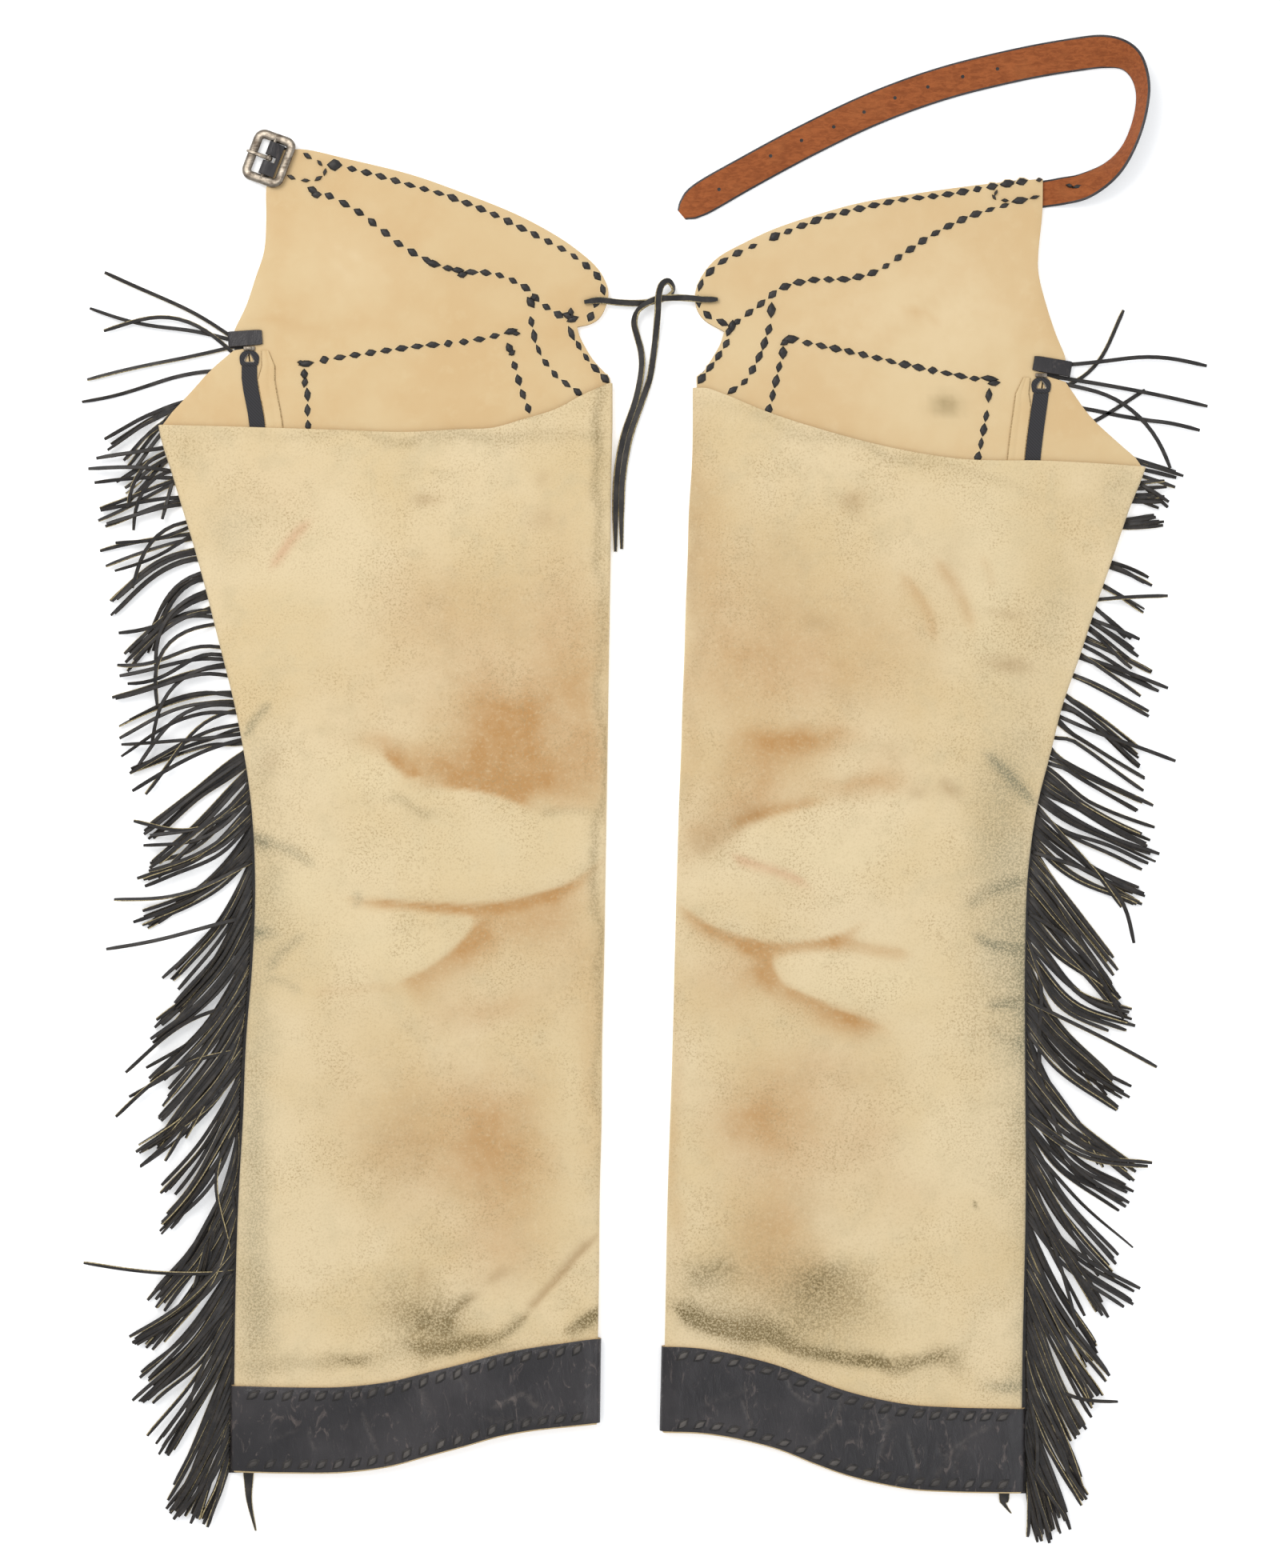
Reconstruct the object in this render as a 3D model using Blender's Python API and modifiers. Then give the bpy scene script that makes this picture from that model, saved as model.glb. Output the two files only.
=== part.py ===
"""Tan rough-out leather chaps laid flat with their back upward, at real size.

Each leg is one piece of leather folded at the inner side and closed by a zip near the outer side.
A yoke, a pocket patch and an inner guard lie under the front, a black cuff goes round each hem,
and black fringe runs down each outer side. Lengths are in millimetres until a mesh is made.
Plus x is the wearer's right, plus y goes from the hems to the waist, and z = 0 is the floor.
"""

import math
from collections import namedtuple

import bmesh
import bpy
import numpy as np
from mathutils import Euler

MM = 0.001
NAME = "leather_chaps"
SIGN = {"left": -1, "right": 1}  # the direction of a leg's outer side

# Leather, and the layers from the floor up
LEATHER = 2.0
UNDER_TOP = 2.0
FRONT_LOW = 1.0
FRONT_RISE = 2.5
FOLD_RADIUS = 1.9
CUFF_OUT = 2.5
INSIDE_TOP = FRONT_LOW + FRONT_RISE + LEATHER / 2
ON_TOP = INSIDE_TOP + 0.3
TOUCH = 0.3

# The legs' levels: how far in from the middle line the edges lie, at heights above the middle
Level = namedtuple("Level", "y inner outer strip zip")
LEVELS = {
    "left": (
        Level(311.5, -26.5, -378.5, -320, -308),
        Level(278.5, -26.5, -378.5, -312, -302),
        Level(236, -27.5, -366.5, -313.5, -302),
        Level(174, -28, -348, -315.5, -303),
        Level(112, -29, -332, -313.5, -300.5),
        Level(50, -30, -317, -309.5, -295.5),
        Level(-12, -31, -307, -308, -291.5),
        Level(-74, -32, -303.5, -308, -290),
        Level(-136, -33, -305.5, -310.5, -291.5),
        Level(-198, -34.5, -310.5, -315.5, -296),
        Level(-260, -35, -313, -318.5, -299),
        Level(-322, -36.5, -316.5, -320, -302),
        Level(-384, -37, -318.5, -322, -304),
        Level(-446, -38, -319.5, -324, -306),
        Level(-533, -39, -320, -326, -307),
    ),
    "right": (
        Level(310.5, 35.5, 388, 320, 306.5),
        Level(251.5, 35, 388, 311, 299),
        Level(211, 32.5, 373, 308, 296.5),
        Level(174, 31.5, 360.5, 306, 295),
        Level(136.5, 30, 347.5, 304.5, 293),
        Level(99.5, 29, 335.5, 303.5, 291),
        Level(62.5, 27.5, 322.5, 303.5, 289),
        Level(25, 26.5, 313, 303.5, 288),
        Level(-12, 25, 303.5, 301, 285.5),
        Level(-61.5, 23.5, 296, 298.5, 281),
        Level(-136, 21.5, 293, 296.5, 278.5),
        Level(-198, 20, 293, 296.5, 278),
        Level(-322, 16, 293.5, 297, 278),
        Level(-446, 13.5, 291, 296.5, 277.5),
        Level(-550, 11, 290, 296.5, 277.5),
    ),
}

# Heights of the back's top edge and of the hem, by the share of the way from inner to outer fold
Rim = namedtuple("Rim", "share y")
BACK_TOP = {
    "left": (
        Rim(0, 312), Rim(0.07, 301), Rim(0.12, 291.5), Rim(0.2, 282.5), Rim(0.26, 276.5),
        Rim(0.34, 275), Rim(0.45, 273), Rim(0.6, 274.5), Rim(0.88, 277.5), Rim(1, 278.5),
    ),
    "right": (
        Rim(0, 307), Rim(0.03, 307), Rim(0.06, 303.5), Rim(0.16, 289), Rim(0.3, 273),
        Rim(0.44, 260.5), Rim(0.58, 252.5), Rim(0.79, 250.5), Rim(0.9, 248.5), Rim(1, 246),
    ),
}
HEM = {
    "left": (
        Rim(0, -495.5), Rim(0.07, -497.5), Rim(0.17, -500.5), Rim(0.27, -505.5), Rim(0.37, -513.5),
        Rim(0.47, -521), Rim(0.57, -528.5), Rim(0.67, -532.5), Rim(0.86, -533.5), Rim(1, -532.5),
    ),
    "right": (
        Rim(0, -502), Rim(0.11, -503), Rim(0.23, -508.5), Rim(0.33, -516), Rim(0.42, -526),
        Rim(0.51, -535), Rim(0.61, -542), Rim(0.69, -546), Rim(0.8, -548), Rim(1, -549),
    ),
}

# Rows down a leg, as shares of its length, and how far the front stands off the floor there
ROWS = (0, 0.04, 0.08, 0.125, 0.17, 0.215, 0.28, 0.34, 0.385, 0.425, 0.465, 0.505, 0.55, 0.61, 0.69, 0.77,
        0.84, 0.905, 0.95, 1)
RAISED_AT = ((0, 1), (0.125, 1), (0.215, 0), (0.84, 0), (0.905, 1), (1, 1))
ZIP_FLAT = 30  # the front stays raised this far in from the zip, over the fringe's strip
ZIP_SLOPE = 65
SLIT = 0.5
FRONT_SHARES = (0.2, 0.4, 0.6, 0.8)

# The back's largest worn folds, as low ridges between two points
Ridge = namedtuple("Ridge", "leg x1 y1 x2 y2 height width")
RIDGES = (
    Ridge("left", -200, -12, -62, -62, 1.9, 30),
    Ridge("left", -225, -108, -70, -66, 1.4, 20),
    Ridge("left", -215, -150, -110, -128, 1.6, 24),
    Ridge("left", -150, -395, -60, -350, 1.5, 26),
    Ridge("right", 70, -40, 190, -112, 1.9, 30),
    Ridge("right", 45, -98, 150, -128, 1.4, 20),
    Ridge("right", 105, -150, 230, -182, 1.6, 24),
    Ridge("right", 40, -410, 120, -440, 1.3, 24),
)

RIDGES_END = 0.88  # the folds are gone this share of the way down, above the cuff
RIDGES_FADE = 0.05

CUFF_ROWS = (0.917, 0.945, 0.972, 0.998)
CUFF_START = 1  # how far past the fringe's strip the cuff's front half begins
CUFF_FOOT = (0.8, 0.7)  # how far out its outer end turns, and its gap to the strands

# Outlines of the front above the back's top edge, as runs with a corner between them
OUTLINES = {
    "left": {
        "outer": ((-317, 345), (-320, 350.5), (-310.5, 371), (-303, 393.5), (-296.5, 414), (-295, 438.5),
                  (-295, 461.5), (-291.5, 476), (-284.5, 491.5)),
        "top": ((-284.5, 491.5), (-264, 492), (-233, 485), (-184, 473), (-142.5, 458.5), (-101.5, 442),
                (-70.5, 425.5), (-50, 411), (-37.5, 399), (-30.5, 385.5), (-30.5, 375), (-35.5, 363),
                (-43.5, 357), (-54, 354.5)),
        "notch": ((-54, 354.5), (-51, 345), (-42, 329.5), (-31.5, 318)),
        "wrap": ((-320, 336.5), (-337.5, 321.5), (-353, 304.5), (-368, 288.5)),
        "slit": ((-309, 338),),
    },
    "right": {
        "outer": ((319, 324), (324.5, 329.5), (317, 349), (310.5, 368.5), (304, 393.5), (303.5, 412.5),
                  (306.5, 442.5), (307, 469.5)),
        "top": ((307, 469.5), (264.5, 465.5), (215.5, 459), (166.5, 451), (130, 441), (100, 431),
                (76, 420), (56, 409), (44.5, 397), (38, 383.5), (38, 371), (44.5, 360), (60, 351)),
        "notch": ((60, 351), (56, 339.5), (47, 324.5), (40.5, 314.5)),
        "wrap": ((324.5, 312), (343, 286), (363.5, 266.5), (379, 253)),
        "slit": ((307.5, 317),),
    },
}

# Pieces laced under the front, each an outline in runs
YOKES = {
    "left": (
        ((-254.5, 489.5), (-233, 485), (-184, 473), (-142.5, 458.5), (-101.5, 442), (-70.5, 425.5),
         (-50, 411), (-37.5, 399), (-30.5, 385.5), (-30.5, 375), (-35.5, 363), (-43.5, 357), (-54, 354.5)),
        ((-54, 354.5), (-67.5, 360.5), (-82, 369), (-95, 380), (-104.5, 386), (-124.5, 393), (-145, 393),
         (-157, 396.5), (-179, 406.5), (-198.5, 420), (-216, 434.5), (-235.5, 445.5), (-260.5, 458.5)),
        ((-260.5, 458.5), (-252.5, 464.5), (-247.5, 473.5), (-249, 483), (-254.5, 489.5)),
    ),
    "right": (
        ((262, 465), (215.5, 459), (166.5, 451), (130, 441), (100, 431), (76, 420), (56, 409),
         (44.5, 397), (38, 383.5), (38, 371), (44.5, 360), (60, 351)),
        ((60, 351), (72, 355.5), (83, 362), (91, 369), (100, 376.5), (109.5, 381.5), (130, 387),
         (153, 388), (176.5, 393.5), (196, 404.5), (215, 418), (234.5, 429.5), (262, 441)),
        ((262, 441), (260, 453), (262, 465)),
    ),
}
GUARDS = {
    "left": (
        ((-94, 377.5), (-82, 366.5), (-67.5, 358), (-55.5, 352.5)),
        ((-55.5, 352.5), (-51, 345), (-42, 329.5), (-31.5, 318)),
        ((-31.5, 318), (-30, 306), (-30, 294)),
        ((-30, 294), (-39.5, 296), (-53.5, 301), (-67.5, 307), (-76.5, 316.5), (-87.5, 337), (-94, 377.5)),
    ),
    "right": (
        ((100, 374), (91, 366.5), (83, 359.5), (72, 353), (61, 349)),
        ((61, 349), (56, 339.5), (47, 324.5), (40.5, 314.5)),
        ((40.5, 314.5), (39, 303), (39.5, 291)),
        ((39.5, 291), (53.5, 296), (70.5, 303), (80.5, 310.5), (91.5, 331.5), (98.5, 352.5), (100, 374)),
    ),
}
PATCHES = {
    "left": (
        ((-269.5, 329.5), (-226, 335.5), (-177.5, 343), (-141, 349.5), (-100, 355)),
        ((-100, 355), (-100, 335), (-92, 309), (-82, 273), (-65.5, 222)),
        ((-65.5, 222), (-266.5, 217)),
        ((-266.5, 217), (-268, 273), (-269.5, 329.5)),
    ),
    "right": (
        ((105, 349.5), (148, 341.5), (195, 330), (230.5, 322.5), (272, 316.5)),
        ((272, 316.5), (267.5, 291.5), (260.5, 254.5), (253, 206)),
        ((253, 206), (77, 220)),
        ((77, 220), (91, 279.5), (99.5, 319.5), (105, 349.5)),
    ),
}

# Zip, its leather facing and the black tab over its top end
TAPE_WIDTH = 12
TAPE_THICK = 0.8
FACING_THICK = 1.0
FACING_EDGE = 20  # how far in from the zip's line the facing reaches
FACING_TOP = 15
ZIP_TOP = {"left": 324, "right": 303}
ZIP_STEPS = 14
TAPE_ABOVE_HEM = 12
FACING_ABOVE_HEM = 14
LOOP_SIZE = (15, 11.6)
LOOP_NECK = 4
LOOP_WIDEST = 0.45  # the share of its height at which the loop is widest
LOOP_TAPER = 1.5
LOOP_GAP = (1.8, 8.2, 3.4)  # the gap's top and foot below the loop's top, and half its width
LOOP_THICK = 1.2
LOOP_ROOM = 1.6
SLIDER_SIZE = (9, 3, 2.4)
SLIDER_EDGE = 0.5
TAB_WIDTH = 9.5
TAB_THICK = 1.6
TAB_BENDS = ((1.3, 0.5), (1.8, 1.8), (1.9, 2.6))  # how far past its outer end and how far down
TAB_ENDS = {"left": ((-298, 346.5), (-322, 345)), "right": ((299.5, 326.5), (326.5, 322))}

# Fringe
STRAND_PITCH = 10.8
STRAND_WIDTH = 3.4
STRAND_TIP = 2.4
STRIP_THICK = 1.8
STRAND_THICK = 1.3
STRAND_LOW = 1.0
STRAND_HIGH = 2.9
STRAND_ROOT = 2.5  # how far out the ring after the root lies
ROOT_SHARE = 0.62  # the largest share of the pitch that a root takes
LOW_STATIONS = (0.3, 0.65, 1)
HIGH_STATIONS = (0.62, 1)
WRAP_CLEAR = 6  # how far past the leg's outer fold a high strand rises
STRAND_RISE = 11
DROOP = (0.7, 0.4)  # the share of its fall with which a strand starts, and where the fall is whole
BARE_ABOVE = 8  # above the zip's top by this much no leather lies over the strands
BARE_WRAP = 2
STRIP_INWARD = 6
STRIP_STEPS = 14
STRIP_TOP = {"left": 347, "right": 326}
STRIP_BOTTOM = {"left": -534, "right": -550}
LENGTH_SPREAD = (0.92, 1.04)
ANGLE_SPREAD = 1.2
CHANCE_START = {"left": 6, "right": 8}
Fall = namedtuple("Fall", "y angle length")  # how far below level the strands point, and how long they are
FALLS = {
    "left": (
        Fall(346, -18, 117.5), Fall(325, 6, 119.5), Fall(270, 17, 120), Fall(200, 19, 116),
        Fall(140, 20, 111),
        Fall(50, 29, 110), Fall(-40, 33, 106), Fall(-140, 44, 110), Fall(-200, 50, 108), Fall(-320, 57, 112),
        Fall(-450, 62, 104), Fall(-490, 64, 68), Fall(-515, 65, 40), Fall(-534, 65, 24),
    ),
    "right": (
        Fall(326, 0, 114), Fall(290, 8, 116), Fall(240, 17, 112), Fall(205, 13, 100), Fall(140, 20, 104),
        Fall(50, 31, 98), Fall(-20, 34, 108), Fall(-105, 45, 110), Fall(-170, 51, 102), Fall(-260, 57, 110),
        Fall(-385, 61, 108), Fall(-470, 63, 92), Fall(-500, 64, 66), Fall(-530, 65, 40), Fall(-550, 65, 22),
    ),
}
Tail = namedtuple("Tail", "x1 x2 tip_x tip_y")  # the lacing thong left hanging at the hem
TAILS = {"left": Tail(-314, -304, -303.5, -579.5), "right": Tail(274.5, 280, 282.5, -566)}
TAIL_HALVES = ((0.1, 4), (0.5, 2.6), (1, 0.9))  # the share of its length, and half its width there

# Belt strap on the right, flesh side up, standing on its edge round the bend
Strap = namedtuple("Strap", "x y roll width")
BELT = (
    Strap(27, 442, 0, 10), Strap(33, 447, 0, 20), Strap(44.5, 455.5, 0, 26), Strap(78.5, 475, 0, 26),
    Strap(125, 500, 0, 26), Strap(176.5, 524.5, 0, 26), Strap(230.5, 544, 0, 26), Strap(289, 558.5, 0, 26),
    Strap(332.5, 566, 6, 26), Strap(355, 567.5, 24, 26), Strap(371, 562.5, 50, 26), Strap(380, 551, 68, 26),
    Strap(383.5, 534, 75, 26), Strap(380, 512, 75, 26), Strap(371.5, 491, 70, 26), Strap(358, 474.5, 52, 25),
    Strap(339, 463.5, 26, 23.5), Strap(322, 460, 8, 22), Strap(308, 458, 0, 21), Strap(281, 454, 0, 21),
    Strap(270, 452.8, 0, 19), Strap(265.5, 452.4, 0, 12),
)

# Buckle on the left strap, in its own frame: x along the strap, z up from the bar's middle
BUCKLE_AT = (-293, 485)
BUCKLE_TURN = -21
BUCKLE_TILT = -11.3
BAR_HEIGHT = 5.1
BAR_RADIUS = 1.5
FRAME_HALF = (14, 17)  # from the bar's middle to the middle of each side
FRAME_SIDE = (3.5, 1.3)  # half the width and half the thickness of a side
FRAME_CORNER = 5
FRAME_BEVEL = 1.3
FRAME_SHOULDER = 0.2  # the share of half its thickness at which the bevel begins
CORNER_STEPS = 4
ROUND_STEPS = 12
STRAP_HALF = 13
SLOT_HALF = 2.4
SLOT_REACH = 8
STRAP_PATH = ((8.5, 5.9), (5.5, 6.5), (2.5, 7.6), (0, 7.9), (-2, 7.1), (-2.8, 5.1), (-2.3, 3), (0, 1.4),
              (3, 1), (8, 1), (20, 1), (33, 1), (39.5, 1), (42.6, 1), (43.6, 1))
STRAP_ROUND = ((33, 13), (39.5, 10.5), (42.6, 6.5), (43.6, 3.2))
STRAP_ROUND_FROM = 9  # the first point of the path whose width follows the rounded end
SLOT_SHARE = 0.6  # the largest share of the half width that the slot's edge takes
TONGUE_PATH = ((-2.1, 0.9, 3.2), (-6, 1.9, 3.2), (-10.5, 2.5, 2.8), (-14, 2.7, 2.6), (-18, 2.2, 1.8))
TONGUE_THICK = 1.5
TONGUE_RING = 2.35  # the ring's middle radius round the bar
TONGUE_RING_SIZE = (1.1, 3.2)

# The tie between the yokes: centre points of its two laces
LACE_THICK = 3.6
Lace = namedtuple("Lace", "x y z")
LACES = {
    "left": (
        Lace(-48.5, 373.5, 6.8), Lace(-36.5, 375, 6.9), Lace(-24, 373.5, 6), Lace(-10, 373, 4),
        Lace(2, 374, 2.6),
        Lace(14, 377, 2.5), Lace(20.5, 383, 5), Lace(17, 389.5, 8), Lace(11.5, 386.5, 9.8),
        Lace(9, 377.5, 10.4),
        Lace(8.5, 366, 8.5), Lace(7.5, 354, 4.5), Lace(6.5, 343, 2.3), Lace(4.5, 328, 2.1), Lace(2, 314, 2.1),
        Lace(-3, 299, 2.1), Lace(-13, 269.5, 2.1), Lace(-18.5, 239, 2.1), Lace(-19.7, 211, 2.1),
        Lace(-19.5, 182.5, 2.1),
    ),
    "right": (
        Lace(55, 375.5, 6.8), Lace(44.5, 375.5, 6.9), Lace(33, 376.5, 6.6), Lace(21, 377, 6.3),
        Lace(8.5, 376, 6.3),
        Lace(0, 372.5, 6.8), Lace(-7, 366.5, 7), Lace(-9.8, 358, 5), Lace(-7.5, 347.5, 2.6),
        Lace(-4.5, 336, 2.1),
        Lace(-4, 321.5, 2.1), Lace(-8.5, 298, 2.1), Lace(-18.2, 269.5, 2.1), Lace(-23.3, 241, 2.1),
        Lace(-24.4, 211, 2.1), Lace(-24.3, 180.5, 2.1),
    ),
}

Look = namedtuple("Look", "red green blue roughness metallic")
LOOKS = {
    "suede": Look(0.68, 0.56, 0.36, 0.9, 0),
    "smooth_tan": Look(0.78, 0.62, 0.4, 0.6, 0),
    "black": Look(0.025, 0.023, 0.025, 0.5, 0),
    "black_tape": Look(0.02, 0.02, 0.022, 0.8, 0),
    "strap": Look(0.36, 0.12, 0.04, 0.75, 0),
    "nickel": Look(0.55, 0.53, 0.5, 0.35, 1),
}


def smooth(points, steps):
    """A curve through the points, with each stretch cut in steps parts."""
    p = np.array(points, float)
    p = np.vstack([2 * p[0] - p[1], p, 2 * p[-1] - p[-2]])
    out = []
    for a, b, c, d in zip(p, p[1:], p[2:], p[3:]):
        for t in np.arange(steps) / steps:
            bend = (c - a) * t + (2 * a - 5 * b + 4 * c - d) * t**2 + (3 * b - a - 3 * c + d) * t**3
            out.append(b + bend / 2)
    return out + [p[-2]]


def read(rows, at, column):
    """A table's column where its first column has the value at."""
    order = sorted(rows)
    return float(np.interp(at, [r[0] for r in order], [getattr(r, column) for r in order]))


def edge(side, y, name):
    return read(LEVELS[side], y, name)


def level_spot(side, share_down, x_of):
    """The point on a level line of a leg whose x is x_of(y)."""
    y = 0.0
    for _ in range(5):
        x = x_of(y)
        inner = edge(side, y, "inner")
        share = min(max((x - inner) / (edge(side, y, "outer") - inner), 0), 1)
        top = read(BACK_TOP[side], share, "y")
        y = top + (read(HEM[side], share, "y") - top) * share_down
    return x, y


def raised(share_down, from_zip):
    """How much of its rise the front has, from 0 on the floor to 1 over the pieces under it."""
    along = np.interp(share_down, *zip(*RAISED_AT))
    across = np.interp(from_zip, (ZIP_FLAT, ZIP_SLOPE), (1, 0))
    return float(max(along, across))


def front_height(share_down, from_zip):
    return FRONT_LOW + FRONT_RISE * raised(share_down, from_zip)


def ridge_height(side, x, y):
    """The height of the worn folds at a point of a leg's back."""
    best = 0.0
    for r in RIDGES:
        if r.leg == side:
            a, b, p = np.array((r.x1, r.y1)), np.array((r.x2, r.y2)), np.array((x, y))
            t = min(max(np.dot(p - a, b - a) / np.dot(b - a, b - a), 0), 1)
            away = np.linalg.norm(p - a - t * (b - a))
            best = max(best, r.height * math.exp(-((away / r.width) ** 2)))
    return best


def fold(side, share_down, name, out):
    """Three points of the fold at a leg's inner or outer side, from the front round to the back."""
    toward = SIGN[side] if name == "outer" else -SIGN[side]
    radius = FOLD_RADIUS + out
    back = LEATHER / 2 + FOLD_RADIUS
    x, y = level_spot(side, share_down, lambda y: edge(side, y, name) - toward * back)
    from_zip = 0 if name == "outer" else ZIP_SLOPE
    points = []
    for angle in (-45, 0, 45):
        z = front_height(share_down, from_zip) + FOLD_RADIUS + radius * math.sin(math.radians(angle))
        points.append((x + toward * radius * math.cos(math.radians(angle)), y, z))
    return points


def leg_columns(side):
    """Functions that give the x of each column at a height: the front's, then the wrapped part's."""
    s = SIGN[side]
    back = LEATHER / 2 + FOLD_RADIUS

    def inner_end(y):
        return edge(side, y, "inner") + s * back

    def slope_end(y):
        return edge(side, y, "zip") - s * ZIP_SLOPE

    front = [
        lambda y: edge(side, y, "zip") - s * SLIT,
        lambda y: edge(side, y, "zip") - s * ZIP_FLAT,
        slope_end,
    ]
    for share in FRONT_SHARES:
        front.append(lambda y, share=share: slope_end(y) + (inner_end(y) - slope_end(y)) * share)
    front.append(inner_end)

    def outer_end(y):
        return edge(side, y, "outer") - s * back

    def half_way(y):
        return (outer_end(y) + edge(side, y, "zip")) / 2

    wrap = [outer_end, half_way, lambda y: edge(side, y, "zip") + s * SLIT]
    return front, wrap


def leg_section(side, share_down, out=0.0, folds=True):
    """One section through a leg, from the zip round the inner fold and the outer fold to the zip.

    out moves it outward, for the cuff. folds adds the worn folds to the back.
    """
    front, wrap = leg_columns(side)
    under, over = [], []
    for x_of in front:
        x, y = level_spot(side, share_down, x_of)
        z = front_height(share_down, abs(x - edge(side, y, "zip")))
        under.append((x, y, z - out))
        over.append((x, y, z + 2 * FOLD_RADIUS + out))
    back = [over[-1]]
    for a, b in zip(over[::-1], over[-2:0:-1]):
        back += [tuple((np.array(a) + b) / 2), b]
    for x_of in wrap[1::-1]:
        x, y = level_spot(side, share_down, x_of)
        back.append((x, y, FRONT_LOW + FRONT_RISE + 2 * FOLD_RADIUS + out))
    if folds:
        fade = min(1, max(0, (RIDGES_END - share_down) / RIDGES_FADE))
        shaped = [(x, y, z + fade * ridge_height(side, x, y)) for x, y, z in back[1:-2]]
        back = [back[0], *shaped, *back[-2:]]
    beyond = []
    for x_of in wrap:
        x, y = level_spot(side, share_down, x_of)
        beyond.append((x, y, FRONT_LOW + FRONT_RISE - out))
    inner_fold = fold(side, share_down, "inner", out)
    outer_fold = fold(side, share_down, "outer", out)[::-1]
    return under, inner_fold, back, outer_fold, beyond


def make_object(name, mesh, look):
    """An object with its own material, in the chaps' collection."""
    obj = bpy.data.objects.new(name, mesh)
    bpy.data.collections[NAME].objects.link(obj)
    material = bpy.data.materials.new(name)
    material.use_nodes = True
    shader = material.node_tree.nodes["Principled BSDF"]
    shader.inputs["Base Color"].default_value = (*LOOKS[look][:3], 1)
    shader.inputs["Roughness"].default_value = LOOKS[look].roughness
    shader.inputs["Metallic"].default_value = LOOKS[look].metallic
    material.diffuse_color = (*LOOKS[look][:3], 1)
    mesh.materials.clear()
    mesh.materials.append(material)
    return obj


def finish_mesh(name, bm, look):
    """A mesh object from points in millimetres, with its faces pointing outward."""
    bmesh.ops.scale(bm, vec=(MM, MM, MM), verts=bm.verts)
    bmesh.ops.recalc_face_normals(bm, faces=bm.faces)
    mesh = bpy.data.meshes.new(name)
    bm.to_mesh(mesh)
    bm.free()
    return make_object(name, mesh, look)


def thicken(obj, thickness):
    """Gives an open surface a wall with the surface in its middle."""
    solid = obj.modifiers.new("wall", "SOLIDIFY")
    solid.thickness = thickness * MM
    solid.offset = 0
    solid.use_even_offset = True
    return obj


def grid_faces(bm, rows):
    """Faces between rows of equally many points; returns the rows' vertices."""
    verts = [[bm.verts.new(p) for p in row] for row in rows]
    for upper, lower in zip(verts, verts[1:]):
        for a, b, c, d in zip(upper, upper[1:], lower[1:], lower):
            bm.faces.new((a, b, c, d))
    return verts


def loft(name, rings, look, closed=False):
    """A solid through rings of points, closed on itself or with an end face at each end."""
    bm = bmesh.new()
    verts = [[bm.verts.new(p) for p in ring] for ring in rings]
    pairs = list(zip(verts, verts[1:]))
    if closed:
        pairs.append((verts[-1], verts[0]))
    else:
        bm.faces.new(verts[0])
        bm.faces.new(verts[-1])
    for a, b in pairs:
        for i in range(len(a)):
            j = (i + 1) % len(a)
            bm.faces.new((a[i], a[j], b[j], b[i]))
    return finish_mesh(name, bm, look)


def ribbon(name, centres, sides, widths, thickness, look):
    """A flat band along its centre points, each with the direction of its side and its width."""
    p = np.array(centres, float)
    t = np.gradient(p, axis=0)
    rings = []
    for centre, ahead, side, width in zip(p, t, sides, widths):
        side = np.array(side, float)
        up = np.cross(side, ahead)
        up *= thickness / 2 / np.linalg.norm(up)
        half = side * width / 2
        rings.append([centre - half - up, centre + half - up, centre + half + up, centre - half + up])
    return loft(name, rings, look)


def flat_piece(name, runs, low, thickness, look, steps=2, holes=()):
    """A flat piece with a curved outline, from a filled 2D curve."""
    curve = bpy.data.curves.new(name, "CURVE")
    curve.dimensions = "2D"
    curve.fill_mode = "BOTH"
    curve.extrude = thickness / 2 * MM
    outline = [p for run in runs for p in smooth(run, steps)[:-1]]
    for points in (outline, *holes):
        spline = curve.splines.new("POLY")
        spline.points.add(len(points) - 1)
        for point, place in zip(spline.points, points):
            point.co = (place[0] * MM, place[1] * MM, 0, 1)
        spline.use_cyclic_u = True
    obj = make_object(name, curve, look)
    obj.location.z = (low + thickness / 2) * MM
    return obj


def make_leg(side):
    """A leg with its front above the back's top edge, as one wall."""
    s = SIGN[side]
    bm = bmesh.new()
    rows = []
    for share_down in ROWS:
        rows.append([p for part in leg_section(side, share_down) for p in part])
    verts = grid_faces(bm, rows)
    fronts, wraps = len(leg_columns(side)[0]), len(leg_columns(side)[1])
    height = FRONT_LOW + FRONT_RISE
    lines = OUTLINES[side]
    slit_x, slit_y = lines["slit"][0]
    outline = [(slit_x - s * SLIT, slit_y)]
    for run in ("outer", "top", "notch"):
        outline += [tuple(p) for p in smooth(lines[run], 2)][: -1 if run != "notch" else None]
    panel = [bm.verts.new((x, y, height)) for x, y in outline]
    bm.faces.new(verts[0][:fronts][::-1] + panel)
    flap = [bm.verts.new((slit_x + s * SLIT, slit_y, height))]
    flap += [bm.verts.new((x, y, height)) for x, y in lines["wrap"]]
    bm.faces.new(verts[0][-wraps:] + flap)
    return thicken(finish_mesh(f"leg_{side}", bm, "suede"), LEATHER)


def make_cuff(side):
    """A band round the hem, from the fringe's strip round the inner fold to the outer fold's foot."""
    s = SIGN[side]
    rows = []
    for share_down in CUFF_ROWS:
        under, inner_fold, back, outer_fold, _ = leg_section(side, share_down, CUFF_OUT, folds=False)
        reach = STRIP_INWARD + CUFF_START
        start = level_spot(side, share_down, lambda y: edge(side, y, "zip") - s * reach)
        under[0] = (*start, under[0][2])
        foot = outer_fold[-1]
        outer_fold[-1] = (foot[0] + s * CUFF_FOOT[0], foot[1], UNDER_TOP + LEATHER / 2 + CUFF_FOOT[1])
        rows.append([*under, *inner_fold, *back, *outer_fold])
    bm = bmesh.new()
    grid_faces(bm, rows)
    return thicken(finish_mesh(f"cuff_{side}", bm, "black"), LEATHER)


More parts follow.
